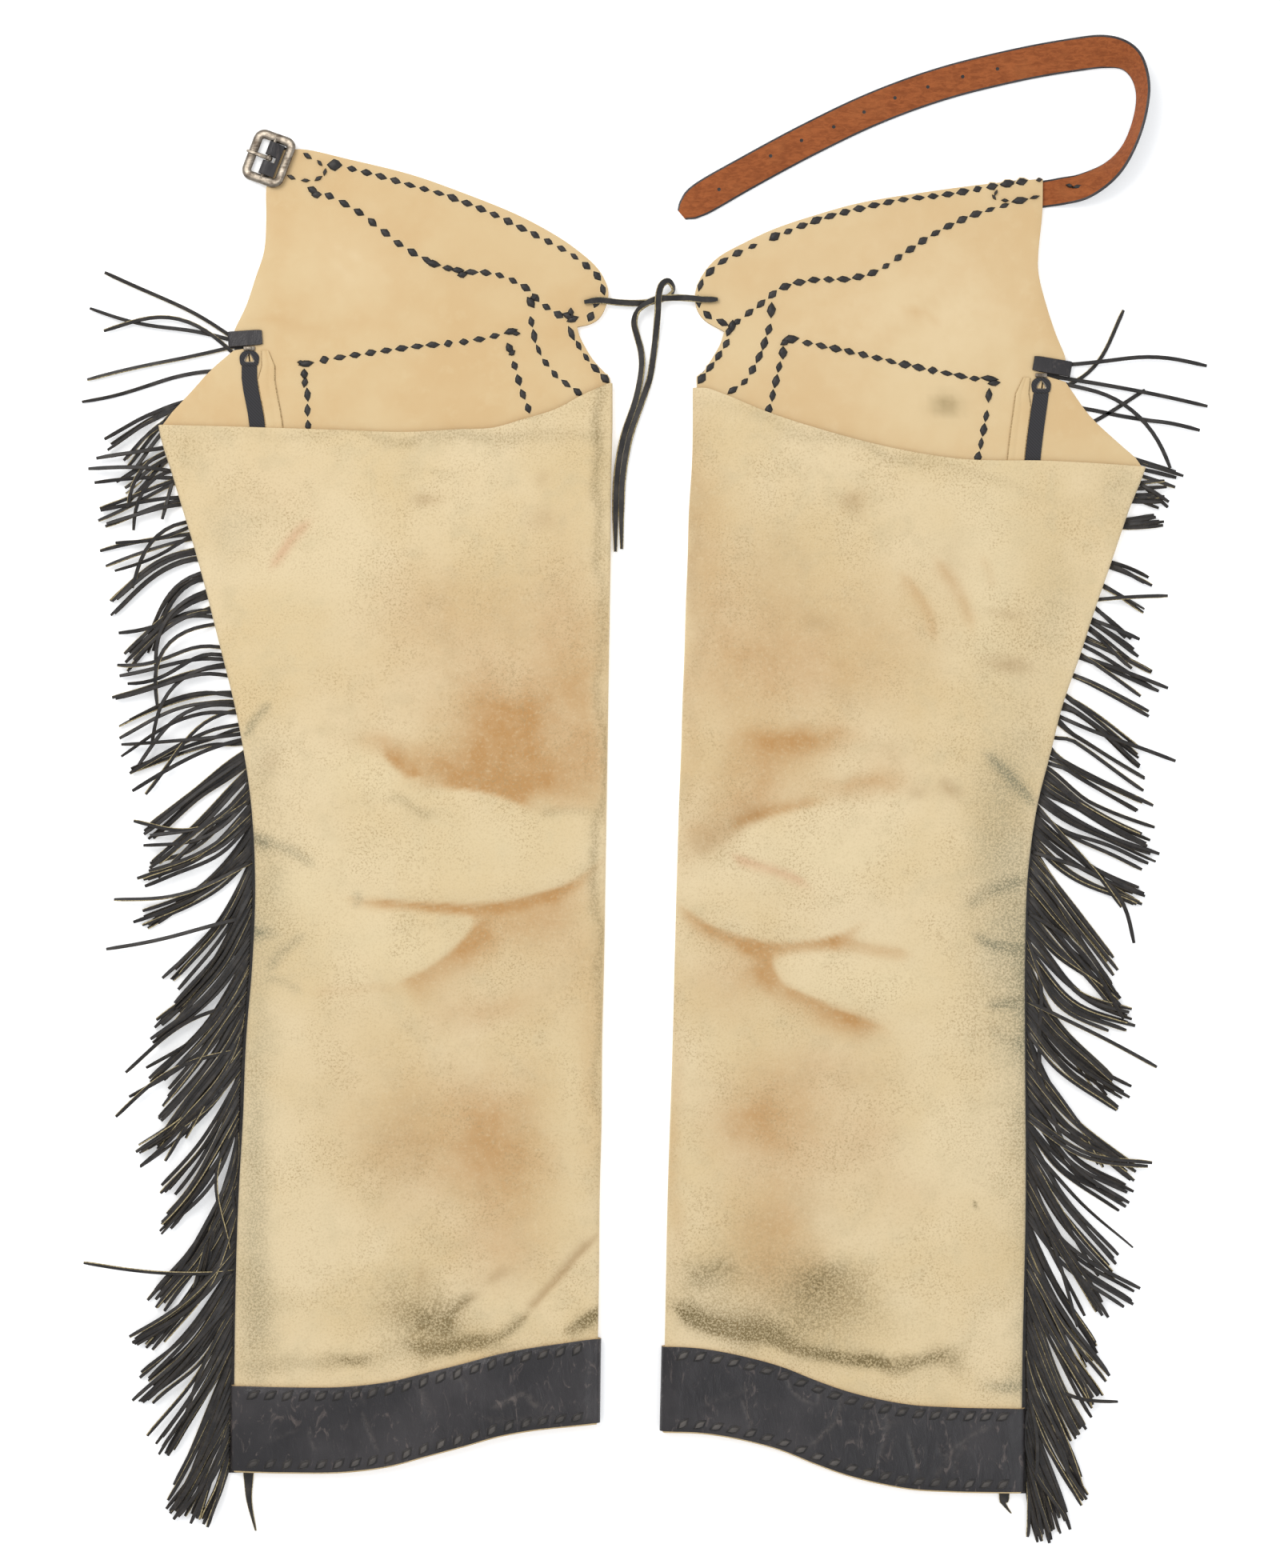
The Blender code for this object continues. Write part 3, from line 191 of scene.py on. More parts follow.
# Folds in the worn leather: low ridges as in the solids, and sharper creases. A crease reaches as far as
# its two measures on either side of its line: above, which is to the left along it, and below.
Ridge = namedtuple("Ridge", "x1 y1 x2 y2 height width")
RIDGES = (
    Ridge(-200, -12, -62, -62, 1.9, 30), Ridge(-225, -108, -70, -66, 1.4, 20),
    Ridge(-215, -150, -110, -128, 1.6, 24), Ridge(-150, -395, -60, -350, 1.5, 26),
    Ridge(70, -40, 190, -112, 1.9, 30), Ridge(45, -98, 150, -128, 1.4, 20),
    Ridge(105, -150, 230, -182, 1.6, 24), Ridge(40, -410, 120, -440, 1.3, 24),
)
Crease = namedtuple("Crease", "kind amount depth above below points")
CREASES = (
    Crease("rust", 0.8, 1.1, 2.6, 7.15, ((-231, -86), (-222.5, -89.5), (-191.5, -91.5), (-154, -94.5), (-117, -93.5), (-79.5, -86), (-53.5, -74.5), (-35.5, -59))),
    Crease("rust", 0.36, 0, 5, 19.5, ((-179, -92.5), (-141.5, -96.5), (-104.5, -95), (-67.5, -86), (-39.5, -74))),
    Crease("rust", 0.68, 0.8, 2.75, 19.5, ((-193, -154), (-172.5, -146), (-153, -133.5), (-136.5, -116), (-122, -102.5))),
    Crease("rust", 0.32, 0, 17.5, 15.6, ((-154, -133.5), (-123, -117.5), (-79.5, -105), (-55, -92.5))),
    Crease("dirt", 0.38, 0, 3.75, 3.75, ((-226, -81.5), (-224, -87.5), (-224, -95))),
    Crease("rust", 0.72, 0.6, 11.2, 2.6, ((-154, -1.5), (-135.5, -2), (-122, -4.5), (-104.5, -12), (-89.5, -19.5))),
    Crease("rust", 0.6, 0.5, 8.75, 2.6, ((-203.5, 25), (-196, 16.5), (-186.5, 9), (-172.5, 8))),
    Crease("rust", 0.16, 0, 3.75, 3.9, ((-262.5, -161), (-234.5, -159.5), (-191.5, -156))),
    Crease("brown", 0.6, 0.9, 4.5, 2.6, ((-101, -419), (-86, -402), (-71.5, -385.5), (-55, -366), (-35, -347.5))),
    Crease("olive", 0.72, 0.7, 5.62, 3.38, ((-159, -435), (-145, -432.5), (-129.5, -430.5), (-112.5, -427), (-99.5, -418), (-89.5, -407.5))),
    Crease("olive", 0.44, 0.3, 5, 3.9, ((-154, -428.5), (-153, -414), (-143.5, -402.5), (-134, -397.5))),
    Crease("olive", 0.8, 0.3, 3.12, 6.5, ((-65, -424), (-56, -419), (-46, -412), (-35, -403.5))),
    Crease("olive", 0.28, 0, 4.38, 4.55, ((-201, -12), (-191.5, -9.5), (-179, -19.5), (-161.5, -25.5))),
    Crease("olive", 0.24, 0, 2.6, 5.2, ((-84.5, -23), (-67.5, -19.5), (-50, -19.5), (-37.5, -21))),
    Crease("rust", 0.64, 0.8, 5.62, 2.6, ((63.5, -37), (76.5, -28), (96.5, -21.5), (117.5, -17), (137.5, -12))),
    Crease("brown", 0.32, 0, 13.8, 9.1, ((33, -54), (50.5, -43), (69, -32), (97, -19.5))),
    Crease("rust", 0.4, 0.4, 7.5, 3.9, ((72, -60.5), (91, -65.5), (105.5, -73), (121, -84), (132.5, -91.5))),
    Crease("rust", 0.8, 1.0, 2.6, 8.45, ((25, -93.5), (44.5, -109.5), (72, -120), (102.5, -125.5), (135, -122.5), (153.5, -117), (166.5, -108))),
    Crease("rust", 0.44, 0.4, 3.75, 7.8, ((137.5, -122.5), (157, -123.5), (178, -127.5), (205.5, -132))),
    Crease("rust", 0.68, 0.9, 2.6, 13, ((95, -130), (96.5, -143.5), (106.5, -156.5), (127.5, -167), (152, -177), (185.5, -188))),
    Crease("rust", 0.36, 0, 7.5, 7.8, ((72, -121), (84.5, -131), (89, -145.5), (100, -161))),
    Crease("red", 0.5, 0.6, 3, 5, ((66, -53), (78, -59), (92, -64), (107.5, -69.5), (118, -75), (127, -81))),
    Crease("olive", 0.8, 0.7, 6.88, 3.9, ((21, -405), (37, -416.5), (64, -424), (91.5, -428), (112.5, -437), (143.5, -444), (180.5, -450))),
    Crease("olive", 0.48, 0.3, 6.25, 4.55, ((156, -446), (180.5, -450.5), (194.5, -453.5), (211.5, -448.5), (233, -440))),
    Crease("rust", 0.32, 0.2, 3.12, 6.5, ((197.5, 165), (210.5, 148), (220.5, 129.5), (224, 110.5))),
    Crease("rust", 0.36, 0.2, 5, 5.85, ((223, 175), (235.5, 159), (246.5, 139), (252.5, 118))),
    Crease("rust", 0.16, 0, 3.75, 3.9, ((259, 177.5), (265, 164), (269, 151.5))),
    Crease("red", 0.55, 0, 4, 4.5, ((-291.5, 166.5), (-283, 179), (-272, 194), (-260.5, 205))),
    Crease("dirt", 0.52, 0.2, 3.75, 4.5, ((-311.5, 35), (-303, 51), (-291, 63.5))),
    Crease("dirt", 0.45, 0.2, 4.5, 3.75, ((-301.5, -42), (-281, -49.5), (-254.5, -65.5))),
    Crease("dirt", 0.38, 0.2, 4.5, 4.5, ((-293, -145), (-282, -130), (-263, -114))),
    Crease("dirt", 0.26, 0, 3, 3.75, ((-296.5, -151), (-283, -152), (-265.5, -162))),
    Crease("dirt", 0.56, 0.3, 4.5, 5.25, ((260, 24), (275.5, 11.5), (291.5, -3.5), (303.5, -18.5))),
    Crease("dirt", 0.45, 0.3, 6, 4.5, ((246.5, -96.5), (267.5, -83), (295, -73))),
    Crease("dirt", 0.56, 0.3, 3.75, 4.5, ((251.5, -115), (269.5, -124.5), (297.5, -128.5))),
    Crease("dirt", 0.49, 0.3, 4.5, 3.75, ((261.5, -172), (281, -169.5), (297.5, -166.5))),
    Crease("dirt", 0.22, 0, 6, 6, ((265, -190.5), (281, -199.5), (296, -202))),
)
# Raised cream places that the stains stop at: how soft the edge is, how much of the stain it hides, and
# how high it stands
Lens = namedtuple("Lens", "soft hides rise points")
LENSES = (
    Lens(4.32, 0.95, 0.9, ((-231, -84), (-247, -68), (-241, -37), (-210, -19.5), (-179, -6), (-150.5, -3), (-123, -6), (-98.5, -14.5), (-87, -22), (-55, -18.5), (-35, -24.5), (-35, -54), (-52.5, -71.5), (-79.5, -83.5), (-117, -91), (-154, -92), (-197.5, -89))),
    Lens(4.05, 0.95, 0.8, ((-221, -97.5), (-191.5, -96.5), (-154, -99.5), (-134, -102.5), (-139, -117.5), (-155.5, -131), (-176.5, -142.5), (-203.5, -152), (-241, -151), (-258, -130), (-251, -109))),
    Lens(4.725, 0.9, 0.5, ((-187.5, 8.5), (-196, 15), (-210, 22.5), (-234.5, 26.5), (-265.5, 19), (-272, -3), (-241, -17), (-215, -16), (-195, -6))),
    Lens(5.4, 0.85, 0.7, ((-148, -416.5), (-144, -405), (-129.5, -396.5), (-108, -399), (-87, -405), (-96, -414), (-109.5, -423), (-130.5, -427.5), (-144, -426))),
    Lens(4.32, 0.93, 0.9, ((71, -42.5), (80.5, -31.5), (103, -24), (143.5, -17.5), (187, -14.5), (224, -30.5), (230.5, -68), (199.5, -99), (167.5, -106.5), (147, -115.5), (107.5, -122), (74, -116), (47, -105.5), (32, -91.5), (29.5, -76.5), (47, -66.5), (74, -63), (70.5, -52))),
    Lens(4.05, 0.93, 0.8, ((99.5, -140), (105, -132), (137.5, -128.5), (174.5, -133), (218, -143.5), (233, -167), (211.5, -180.5), (174.5, -178), (137.5, -166.5), (111.5, -154))),
)
# Soft patches on the backs: how far they reach each way, turned left. Most are stains; the two long thin olive bands at
# x -36.5 and -35 lie along the left leg's inner fold and are painted shade of the fold's side.
Patch = namedtuple("Patch", "kind x y wide tall turn amount")
STAINS_AND_FOLD_SHADE = (
    Patch("rust", -106, 34, 30, 34, 12, 0.6), Patch("rust", -124, 44, 36, 26, 0, 0.42),
    Patch("rust", -108, 8, 34, 18, 0, 0.75), Patch("rust", -140, 18, 34, 15, 0, 0.5),
    Patch("rust", -104, 66, 40, 24, 0, 0.3), Patch("rust", -163.5, 11.5, 16, 11, 0, 0.4),
    Patch("rust", -186, 24, 26, 10, -10, 0.4), Patch("rust", -207, 34.5, 21, 8, -5, 0.35),
    Patch("rust", -129.5, 99.5, 74.5, 49.5, 0, 0.32), Patch("rust", -64, 112, 26, 74.5, 0, 0.34),
    Patch("rust", -50, 56, 15, 56, 0, 0.38), Patch("rust", -64, 11.5, 26, 34.5, 0, 0.45),
    Patch("rust", -166.5, 136.5, 56, 31, 0, 0.18), Patch("rust", -225.5, 62.5, 49.5, 37, 0, 0.08),
    Patch("rust", -73.5, -123.5, 43.5, 25, 20, 0.22), Patch("rust", -55, -154.5, 25, 43.5, 0, 0.16),
    Patch("rust", -122, -174.5, 41, 16, 14, 0.42), Patch("rust", -122, -251, 39.5, 33.5, 0, 0.5),
    Patch("rust", -103, -303.5, 34.5, 38.5, 0, 0.5), Patch("rust", -154, -285, 57, 41, 0, 0.4),
    Patch("rust", -115.5, -359.5, 39.5, 28.5, 0, 0.42), Patch("rust", -191.5, -260, 37, 56, 0, 0.18),
    Patch("rust", -234.5, -229, 43.5, 68, 0, 0.1), Patch("rust", -42.5, -216.5, 10, 80.5, 0, 0.22),
    Patch("rust", -290.5, 223.5, 43.5, 31, 0, 0.1), Patch("rust", -247, 316.5, 37, 22.5, 0, 0.1),
    Patch("brown", -171, 222.5, 8, 6, 0, 0.42), Patch("brown", -76, 202.5, 12.5, 10, 0, 0.22),
    Patch("brown", -77, 238, 7.5, 5.5, 0, 0.2), Patch("brown", -287.5, 17.5, 7.5, 7.5, 0, 0.22),
    Patch("brown", -118.5, -383, 11, 5, 20, 0.4), Patch("brown", -138, -402, 8.5, 5, 30, 0.35),
    Patch("brown", -174.5, -387, 5.5, 8.5, 0, 0.3), Patch("brown", -193, -280, 27.5, 37, 0, 0.14),
    Patch("rust", 116, 35, 34.5, 10.5, 0, 0.8), Patch("rust", 162, -2, 30, 8.5, 6, 0.6),
    Patch("rust", 92.5, 14, 38.5, 23.5, 0, 0.62), Patch("rust", 78.5, -12, 27.5, 15, 0, 0.45),
    Patch("rust", 184, 16, 21, 18.5, 30, 0.2), Patch("rust", 116, 85, 74.5, 37, 0, 0.36),
    Patch("rust", 78, 118, 38.5, 69.5, 0, 0.34), Patch("rust", 48, 174, 16, 99, 3, 0.32),
    Patch("rust", 145.5, 124.5, 53.5, 52, 0, 0.2), Patch("rust", 201, 124.5, 43.5, 49.5, 0, 0.12),
    Patch("rust", 33, 31.5, 10, 74.5, 0, 0.2), Patch("rust", 60, -154.5, 27.5, 37, 0, 0.26),
    Patch("rust", 80.5, -142.5, 18.5, 21, 0, 0.3), Patch("rust", 91, -252.5, 37, 30, 0, 0.55),
    Patch("rust", 109.5, -280.5, 52, 41, 0, 0.38), Patch("rust", 168.5, -276, 25, 27.5, 0, 0.22),
    Patch("rust", 100, -340, 33.5, 39.5, 0, 0.42), Patch("rust", 99, -378, 33.5, 26, 0, 0.4),
    Patch("rust", 140.5, -221.5, 47, 25, 0, 0.3), Patch("rust", 156, -179.5, 31, 13.5, -14, 0.3),
    Patch("rust", 23, -278.5, 7.5, 93, 0, 0.25), Patch("rust", 199.5, -316, 31, 18.5, 0, 0.14),
    Patch("brown", 158.5, 218.5, 10, 7.5, 0, 0.42), Patch("brown", 283, 132, 15, 4.5, 0, 0.32),
    Patch("brown", 281, 91, 16, 5.5, 4, 0.5), Patch("brown", 207, -6, 10, 5.5, 0, 0.28),
    Patch("brown", 233, -6.5, 10, 6, 0, 0.4), Patch("brown", 135, 127.5, 16, 7.5, -20, 0.3),
    Patch("brown", 99, 174, 31, 37, 0, 0.14), Patch("brown", 38, 180, 7.5, 74.5, 0, 0.24),
    Patch("brown", 173.5, -91.5, 11, 8.5, 0, 0.25), Patch("brown", 236.5, 174, 12.5, 25, 0, 0.14),
    Patch("dirt", 282, -100, 32, 230, 0, 0.24), Patch("rust", 46, -36, 24, 15, 35, 0.42), Patch("pale", -247, 149, 56, 99, 0, 0.35), Patch("pale", -253.5, -272.5, 56, 161, 0, 0.3),
    Patch("pale", -61, -254, 16, 93, 0, 0.45), Patch("pale", -269.5, -86.5, 41, 31, 0, 0.6),
    Patch("pale", -210, 3.5, 37, 16, 0, 0.7), Patch("pale", -141.5, -49.5, 93, 31, 0, 0.6),
    Patch("pale", -191.5, -123.5, 56, 21, 0, 0.6), Patch("pale", 149.5, -49.5, 80.5, 27.5, 0, 0.6),
    Patch("pale", 162, -151.5, 56, 17.5, 0, 0.6), Patch("pale", 261.5, 211, 43.5, 93, 0, 0.45),
    Patch("pale", 267.5, 112, 21, 68, 0, 0.4), Patch("pale", 230.5, -229, 49.5, 136.5, 0, 0.3),
    Patch("pale", 60, -198, 16, 22.5, 0, 0.4), Patch("pale", 38, -272.5, 13.5, 49.5, 0, 0.4),
    Patch("pale", 106.5, -415, 31, 12.5, 0, 0.15), Patch("pale", 193, -409, 37, 31, 0, 0.3),
    Patch("olive", -163.5, -416.5, 25, 16, 0, 0.72), Patch("olive", -167.5, -437, 22.5, 6, 8, 0.94),
    Patch("olive", -191.5, -409, 34.5, 27.5, 0, 0.29), Patch("olive", -229.5, -447.5, 18.5, 5.5, 5, 0.8),
    Patch("olive", -278, -450, 37, 5.5, 0, 0.29), Patch("olive", -129.5, -432.5, 27.5, 5.5, 0, 0.58),
    Patch("olive", -43, -411, 10, 7.5, 30, 0.72), Patch("olive", 48.5, -379, 18.5, 13.5, 0, 0.58),
    Patch("olive", 38, -409, 16, 10, -20, 0.72), Patch("olive", 78.5, -419, 37, 10, -8, 0.8),
    Patch("olive", 130, -409, 49.5, 22.5, 0, 0.43), Patch("olive", 138.5, -387, 25, 16, 0, 0.46),
    Patch("olive", 180.5, -447.5, 43.5, 7.5, -4, 0.65), Patch("olive", 233, -445, 12.5, 13.5, 20, 0.46),
    Patch("olive", 87.5, -384, 68, 37, 0, 0.17), Patch("olive", 251.5, -326.5, 1.5, 1.5, 0, 1),
    # Painted shade: the two olive bands on the next line run along the left leg's inner fold and darken the fold's side
    # as its shade would.
    Patch("olive", -36.5, -74, 4.5, 260.5, 0, 0.41), Patch("olive", -35, 260.5, 4.5, 99, 0, 0.43),
    Patch("olive", -154, 270, 136.5, 5.5, 0, 0.29), Patch("olive", 174.5, 260.5, 124, 5.5, -14, 0.23),
    Patch("dirt", -299, -47, 7.5, 5.5, -20, 0.8), Patch("dirt", -296.5, -112.5, 7, 6, 0, 0.7),
    Patch("dirt", -296.5, -86.5, 21, 62, 0, 0.3), Patch("dirt", -301.5, -291, 12.5, 161, 0, 0.42),
    Patch("dirt", -312, -409, 15, 49.5, 0, 0.4), Patch("dirt", -296.5, 12.5, 15, 31, 0, 0.25),
    Patch("dirt", 295, -291, 13.5, 149, 0, 0.42), Patch("dirt", 277.5, -123.5, 27.5, 68, 0, 0.34),
    Patch("dirt", 281, -12, 27.5, 43.5, 0, 0.28), Patch("dirt", 298.5, -161, 10, 68, 0, 0.4),
    Patch("dirt", 281, -463.5, 15, 6, 0, 0.6), Patch("dirt", 295.5, -446, 11, 37, 0, 0.3),
    Patch("dirt", -355.5, 260.5, 18.5, 18.5, 0, 0.16), Patch("dirt", 366.5, 223.5, 16, 25, 0, 0.2),
    Patch("dirt", -327.5, 198.5, 15, 31, 0, 0.22), Patch("dirt", -129.5, 298, 74.5, 16, 0, 0.08),
    Patch("dirt", 317, 136.5, 18.5, 56, 0, 0.2),
)
# Marks on the smooth inside of the fronts
PANEL_MARKS = (
    Patch("rust", -275, 360, 34, 5, 0, 0.35), Patch("olive", 233, 295.5, 10.5, 9.5, 0, 0.8),
    Patch("rust", 211.5, 366, 37, 6, 40, 0.3), Patch("rust", -154, 422, 142.5, 37, -25, 0.28),
    Patch("pale", 185, 375, 125, 115, 0, 0.5), Patch("rust", 168.5, 422, 142.5, 34, 18, 0.15), Patch("pale", -222.5, 403.5, 37, 37, 0, 0.3),
    Patch("rust", 118.5, 304, 43.5, 18.5, 0, 0.15), Patch("pale", 242.5, 360, 37, 37, 0, 0.3),
    Patch("rust", -73.5, 329, 18.5, 18.5, 0, 0.15), Patch("rust", 311, 360, 6, 12.5, 0, 0.3),
)
SCRATCHES = (
    Crease("pale", 0.5, 0, 1.2, 1.2, ((-256.5, 422), (-241, 406.5), (-229.5, 391))),
    Crease("pale", 0.4, 0, 1.2, 1.2, ((-231.5, 394), (-222.5, 389.5), (-221, 386))),
    Crease("pale", 0.35, 0, 1.5, 1.5, ((-272, 440.5), (-253.5, 422), (-210, 403.5))),
    Crease("rust", 0.35, 0, 2, 2, ((196, 369), (211.5, 365), (225.5, 355))),
)
# Wrinkles of the cuffs, and the scuffs along them
WRINKLES = (
    Crease("scuff", 0.24, 0.5, 1.7, 1.3, ((-221, -485), (-215, -500.5), (-207, -517))),
    Crease("scuff", 0.21, 0.3, 1.4, 1.2, ((-262, -497), (-259, -508), (-254.5, -517.5))),
    Crease("scuff", 0.15, 0.5, 2.9, 1.9, ((-156.5, -453.5), (-145.5, -458.5), (-138.5, -463.5), (-141.5, -469.5))),
    Crease("scuff", 0.24, 0.4, 2.4, 2.4, ((-120.5, -482), (-107, -476), (-94.5, -471.5), (-87, -479.5), (-79.5, -484.5))),
    Crease("scuff", 0.15, 0.3, 3.6, 2.4, ((-176.5, -464), (-172.5, -476), (-167.5, -488))),
    Crease("scuff", 0.1, 0.3, 1.9, 1.4, ((-294, -508.5), (-282, -503), (-268, -498))),
    Crease("scuff", 0.15, 0.3, 1.9, 1.7, ((-228, -466.5), (-223, -473.5), (-218, -481))),
    Crease("scuff", 0.09, 0.4, 4.2, 2.4, ((-210, -456), (-191.5, -461), (-166.5, -459.5))),
    Crease("scuff", 0.12, 0.4, 3.6, 2.4, ((-129.5, -490.5), (-104.5, -493), (-67.5, -488))),
    Crease("scuff", 0.24, 0.5, 1.7, 1.3, ((73, -474.5), (78, -488), (82, -503))),
    Crease("scuff", 0.1, 0.6, 2.9, 1.7, ((41, -481.5), (63, -473.5), (87.5, -462))),
    Crease("scuff", 0.24, 0.6, 1.9, 1.4, ((108, -457), (112.5, -468.5), (120, -475), (131, -479))),
    Crease("scuff", 0.24, 0.5, 1.7, 1.3, ((136, -456), (133.5, -468.5), (132, -481.5))),
    Crease("scuff", 0.23, 0.6, 1.9, 1.4, ((148.5, -467), (148.5, -481), (145, -492), (135, -503), (122.5, -514.5))),
    Crease("scuff", 0.15, 0.6, 2.2, 1.7, ((174.5, -484), (185.5, -489), (183, -508), (178, -526.5))),
    Crease("scuff", 0.24, 0.5, 1.6, 1.3, ((201, -500.5), (205.5, -515.5), (211, -535))),
    Crease("scuff", 0.21, 0.7, 1.9, 1.6, ((224, -509.5), (229.5, -519), (240, -512), (254, -502.5), (271, -495.5))),
    Crease("scuff", 0.15, 0.5, 1.9, 1.6, ((221.5, -535), (228, -526.5), (235.5, -518))),
    Crease("scuff", 0.09, 0.6, 3.6, 2.2, ((156, -492.5), (174.5, -495.5), (199.5, -493))),
    Crease("scuff", 0.09, 0.5, 3.6, 2.2, ((238, -533), (240, -520.5), (249, -508))),
)

# Buckstitch lacing on the insides of the fronts: lines of lozenges, each with its number of stitches
Seam = namedtuple("Seam", "stitches points")
SEAMS = (
    Seam(20, ((-228.5, 477), (-205.5, 471), (-182, 464), (-160.5, 458), (-138.5, 450), (-116, 440.5), (-96, 430.5),
              (-76, 420.5), (-56, 409), (-38, 393.5), (-34, 383.5))),
    Seam(2, ((-39, 373.5), (-43.5, 362.5))),
    Seam(8, ((-246, 456), (-225.5, 445), (-207, 431), (-189.5, 417), (-170, 406))),
    Seam(8, ((-136, 397), (-124.5, 396.5), (-112.5, 394), (-102, 389.5), (-92, 383.5), (-85, 376), (-76.5, 369), (-68.5, 364))),
    Seam(7, ((-89.5, 358.5), (-84.5, 338), (-72, 318.5), (-53.5, 304))),
    Seam(5, ((-58.5, 349.5), (-46, 329.5), (-32.5, 314.5))),
    Seam(12, ((-250, 329), (-214, 334.5), (-177.5, 339.5), (-141, 343), (-118, 347.5))),
    Seam(3, ((-263, 302), (-263, 290.5), (-262.5, 278))),
    Seam(4, ((-102.5, 324.5), (-96.5, 303.5), (-92, 291.5))),
    Seam(17, ((290.5, 467), (265.5, 463), (231.5, 457), (197.5, 453), (164, 446), (132.5, 437.5), (109.5, 428.5))),
    Seam(8, ((82, 417), (60.5, 406.5), (45, 393), (40.5, 382), (41, 371), (48, 363), (58.5, 358))),
    Seam(21, ((70, 358.5), (88.5, 372.5), (106.5, 385.5), (130, 391), (153, 391.5), (176.5, 397), (196, 409),
              (215, 422), (234.5, 433), (255, 442), (277, 448.5))),
    Seam(6, ((94.5, 352.5), (87.5, 332.5), (76.5, 313), (66.5, 305.5))),
    Seam(4, ((61.5, 341.5), (55.5, 332), (42.5, 314.5))),
    Seam(13, ((124.5, 342), (159, 335), (195, 326.5), (230.5, 319), (254, 314.5))),
    Seam(4, ((102.5, 323.5), (97.5, 301.5), (94.5, 290.5))),
    Seam(4, ((263, 285.5), (259, 264.5), (256.5, 253.5))),
)
# Single stitches: large knots where a seam starts, and the small arcs at the strap's ends
Knot = namedtuple("Knot", "x y turn long wide")
KNOTS = (
    Knot(-242, 480, -12, 11.5, 9.5), Knot(-259, 460.5, -35, 9, 6), Knot(-256, 457, -5, 8, 6),
    Knot(-165.5, 403.5, -18, 12, 6), Knot(-154, 400, -12, 9, 5), Knot(-146.5, 398.5, -8, 10, 5), Knot(-143, 395, 0, 8, 5.5), Knot(-90, 373.5, -65, 10, 6.5),
    Knot(-87.5, 377.5, 0, 6, 5), Knot(-60.5, 363, -25, 11, 6), Knot(-57.5, 360.5, 15, 10, 5.5), Knot(-59, 365.5, 80, 8, 5),
    Knot(-105.5, 351, 10, 11, 5.5), Knot(-101.5, 349.5, -8, 7, 4), Knot(-106.5, 338, -75, 9, 6), Knot(-104.5, 334.5, 25, 6, 5),
    Knot(-264, 326, 4, 12, 5.5), Knot(-268, 327, -10, 6, 3.5), Knot(-265.5, 318, 80, 8, 6), Knot(-265, 311.5, 70, 8, 5),
    Knot(-263, 487, -40, 8, 4), Knot(-253.5, 481.5, -55, 6, 3), Knot(-249.5, 474.5, 70, 6, 3), Knot(-254.5, 469.5, 25, 7, 3.5),
    Knot(-264.5, 468, -5, 7, 3), Knot(-275.5, 470.5, -30, 7, 3.5),
    Knot(99, 424.5, 25, 10, 7), Knot(279.5, 465.5, 8, 11, 6.5), Knot(304, 468.5, 0, 5, 3.5),
    Knot(289, 452.5, 5, 13, 6), Knot(300.5, 455, 10, 8, 3), Knot(270.5, 458.5, 60, 5, 2.5),
    Knot(269, 455, -60, 5, 2.5), Knot(277.5, 452.5, -10, 6, 3), Knot(96.5, 367.5, 80, 12, 7),
    Knot(66, 355, 75, 10, 6), Knot(63.5, 351, 60, 8, 5), Knot(111.5, 345, 0, 13, 7), Knot(107, 342.5, 20, 8, 5),
    Knot(105.5, 334.5, 80, 10, 7), Knot(265.5, 314.5, -10, 14, 5), Knot(269, 311, 0, 10, 5),
    Knot(265, 301.5, 80, 11, 5.5), Knot(334.5, 463, 5, 11, 4), Knot(327.5, 464, -20, 6, 3),
)
STITCH = (9.4, 5.4, 1.3)
STITCH_SPREAD = 0.12
STITCH_TURN = 8
LIP = 1.22

# Zips, tabs and fringe, as in the solids
TAPE_WIDTH = 12
TAPE_THICK = 0.8
FACING_EDGE = 20
FACING_TOP = 15
FACING_THICK = 1.0
ZIP_TOP = {"left": 324, "right": 303}
TAPE_ABOVE_HEM = 12
FACING_ABOVE_HEM = 14
LOOP_SIZE = (15, 11.6)
LOOP_THICK = 1.2
LOOP_ROOM = 1.6
SLIDER_SIZE = (9, 3, 2.4)
TAB_WIDTH = 12
TAB_THICK = 1.6
TAB_ENDS = {"left": ((-298, 346.5), (-322, 345)), "right": ((299.5, 326.5), (326.5, 322))}
TAB_BENDS = ((0.6, 0.1), (1.3, 0.5), (1.8, 1.8), (1.9, 2.6))
STRIP_THICK = 1.8
STRIP_INWARD = 6
STRIP_TOP = {"left": 347, "right": 326}
STRIP_BOTTOM = {"left": -534, "right": -550}

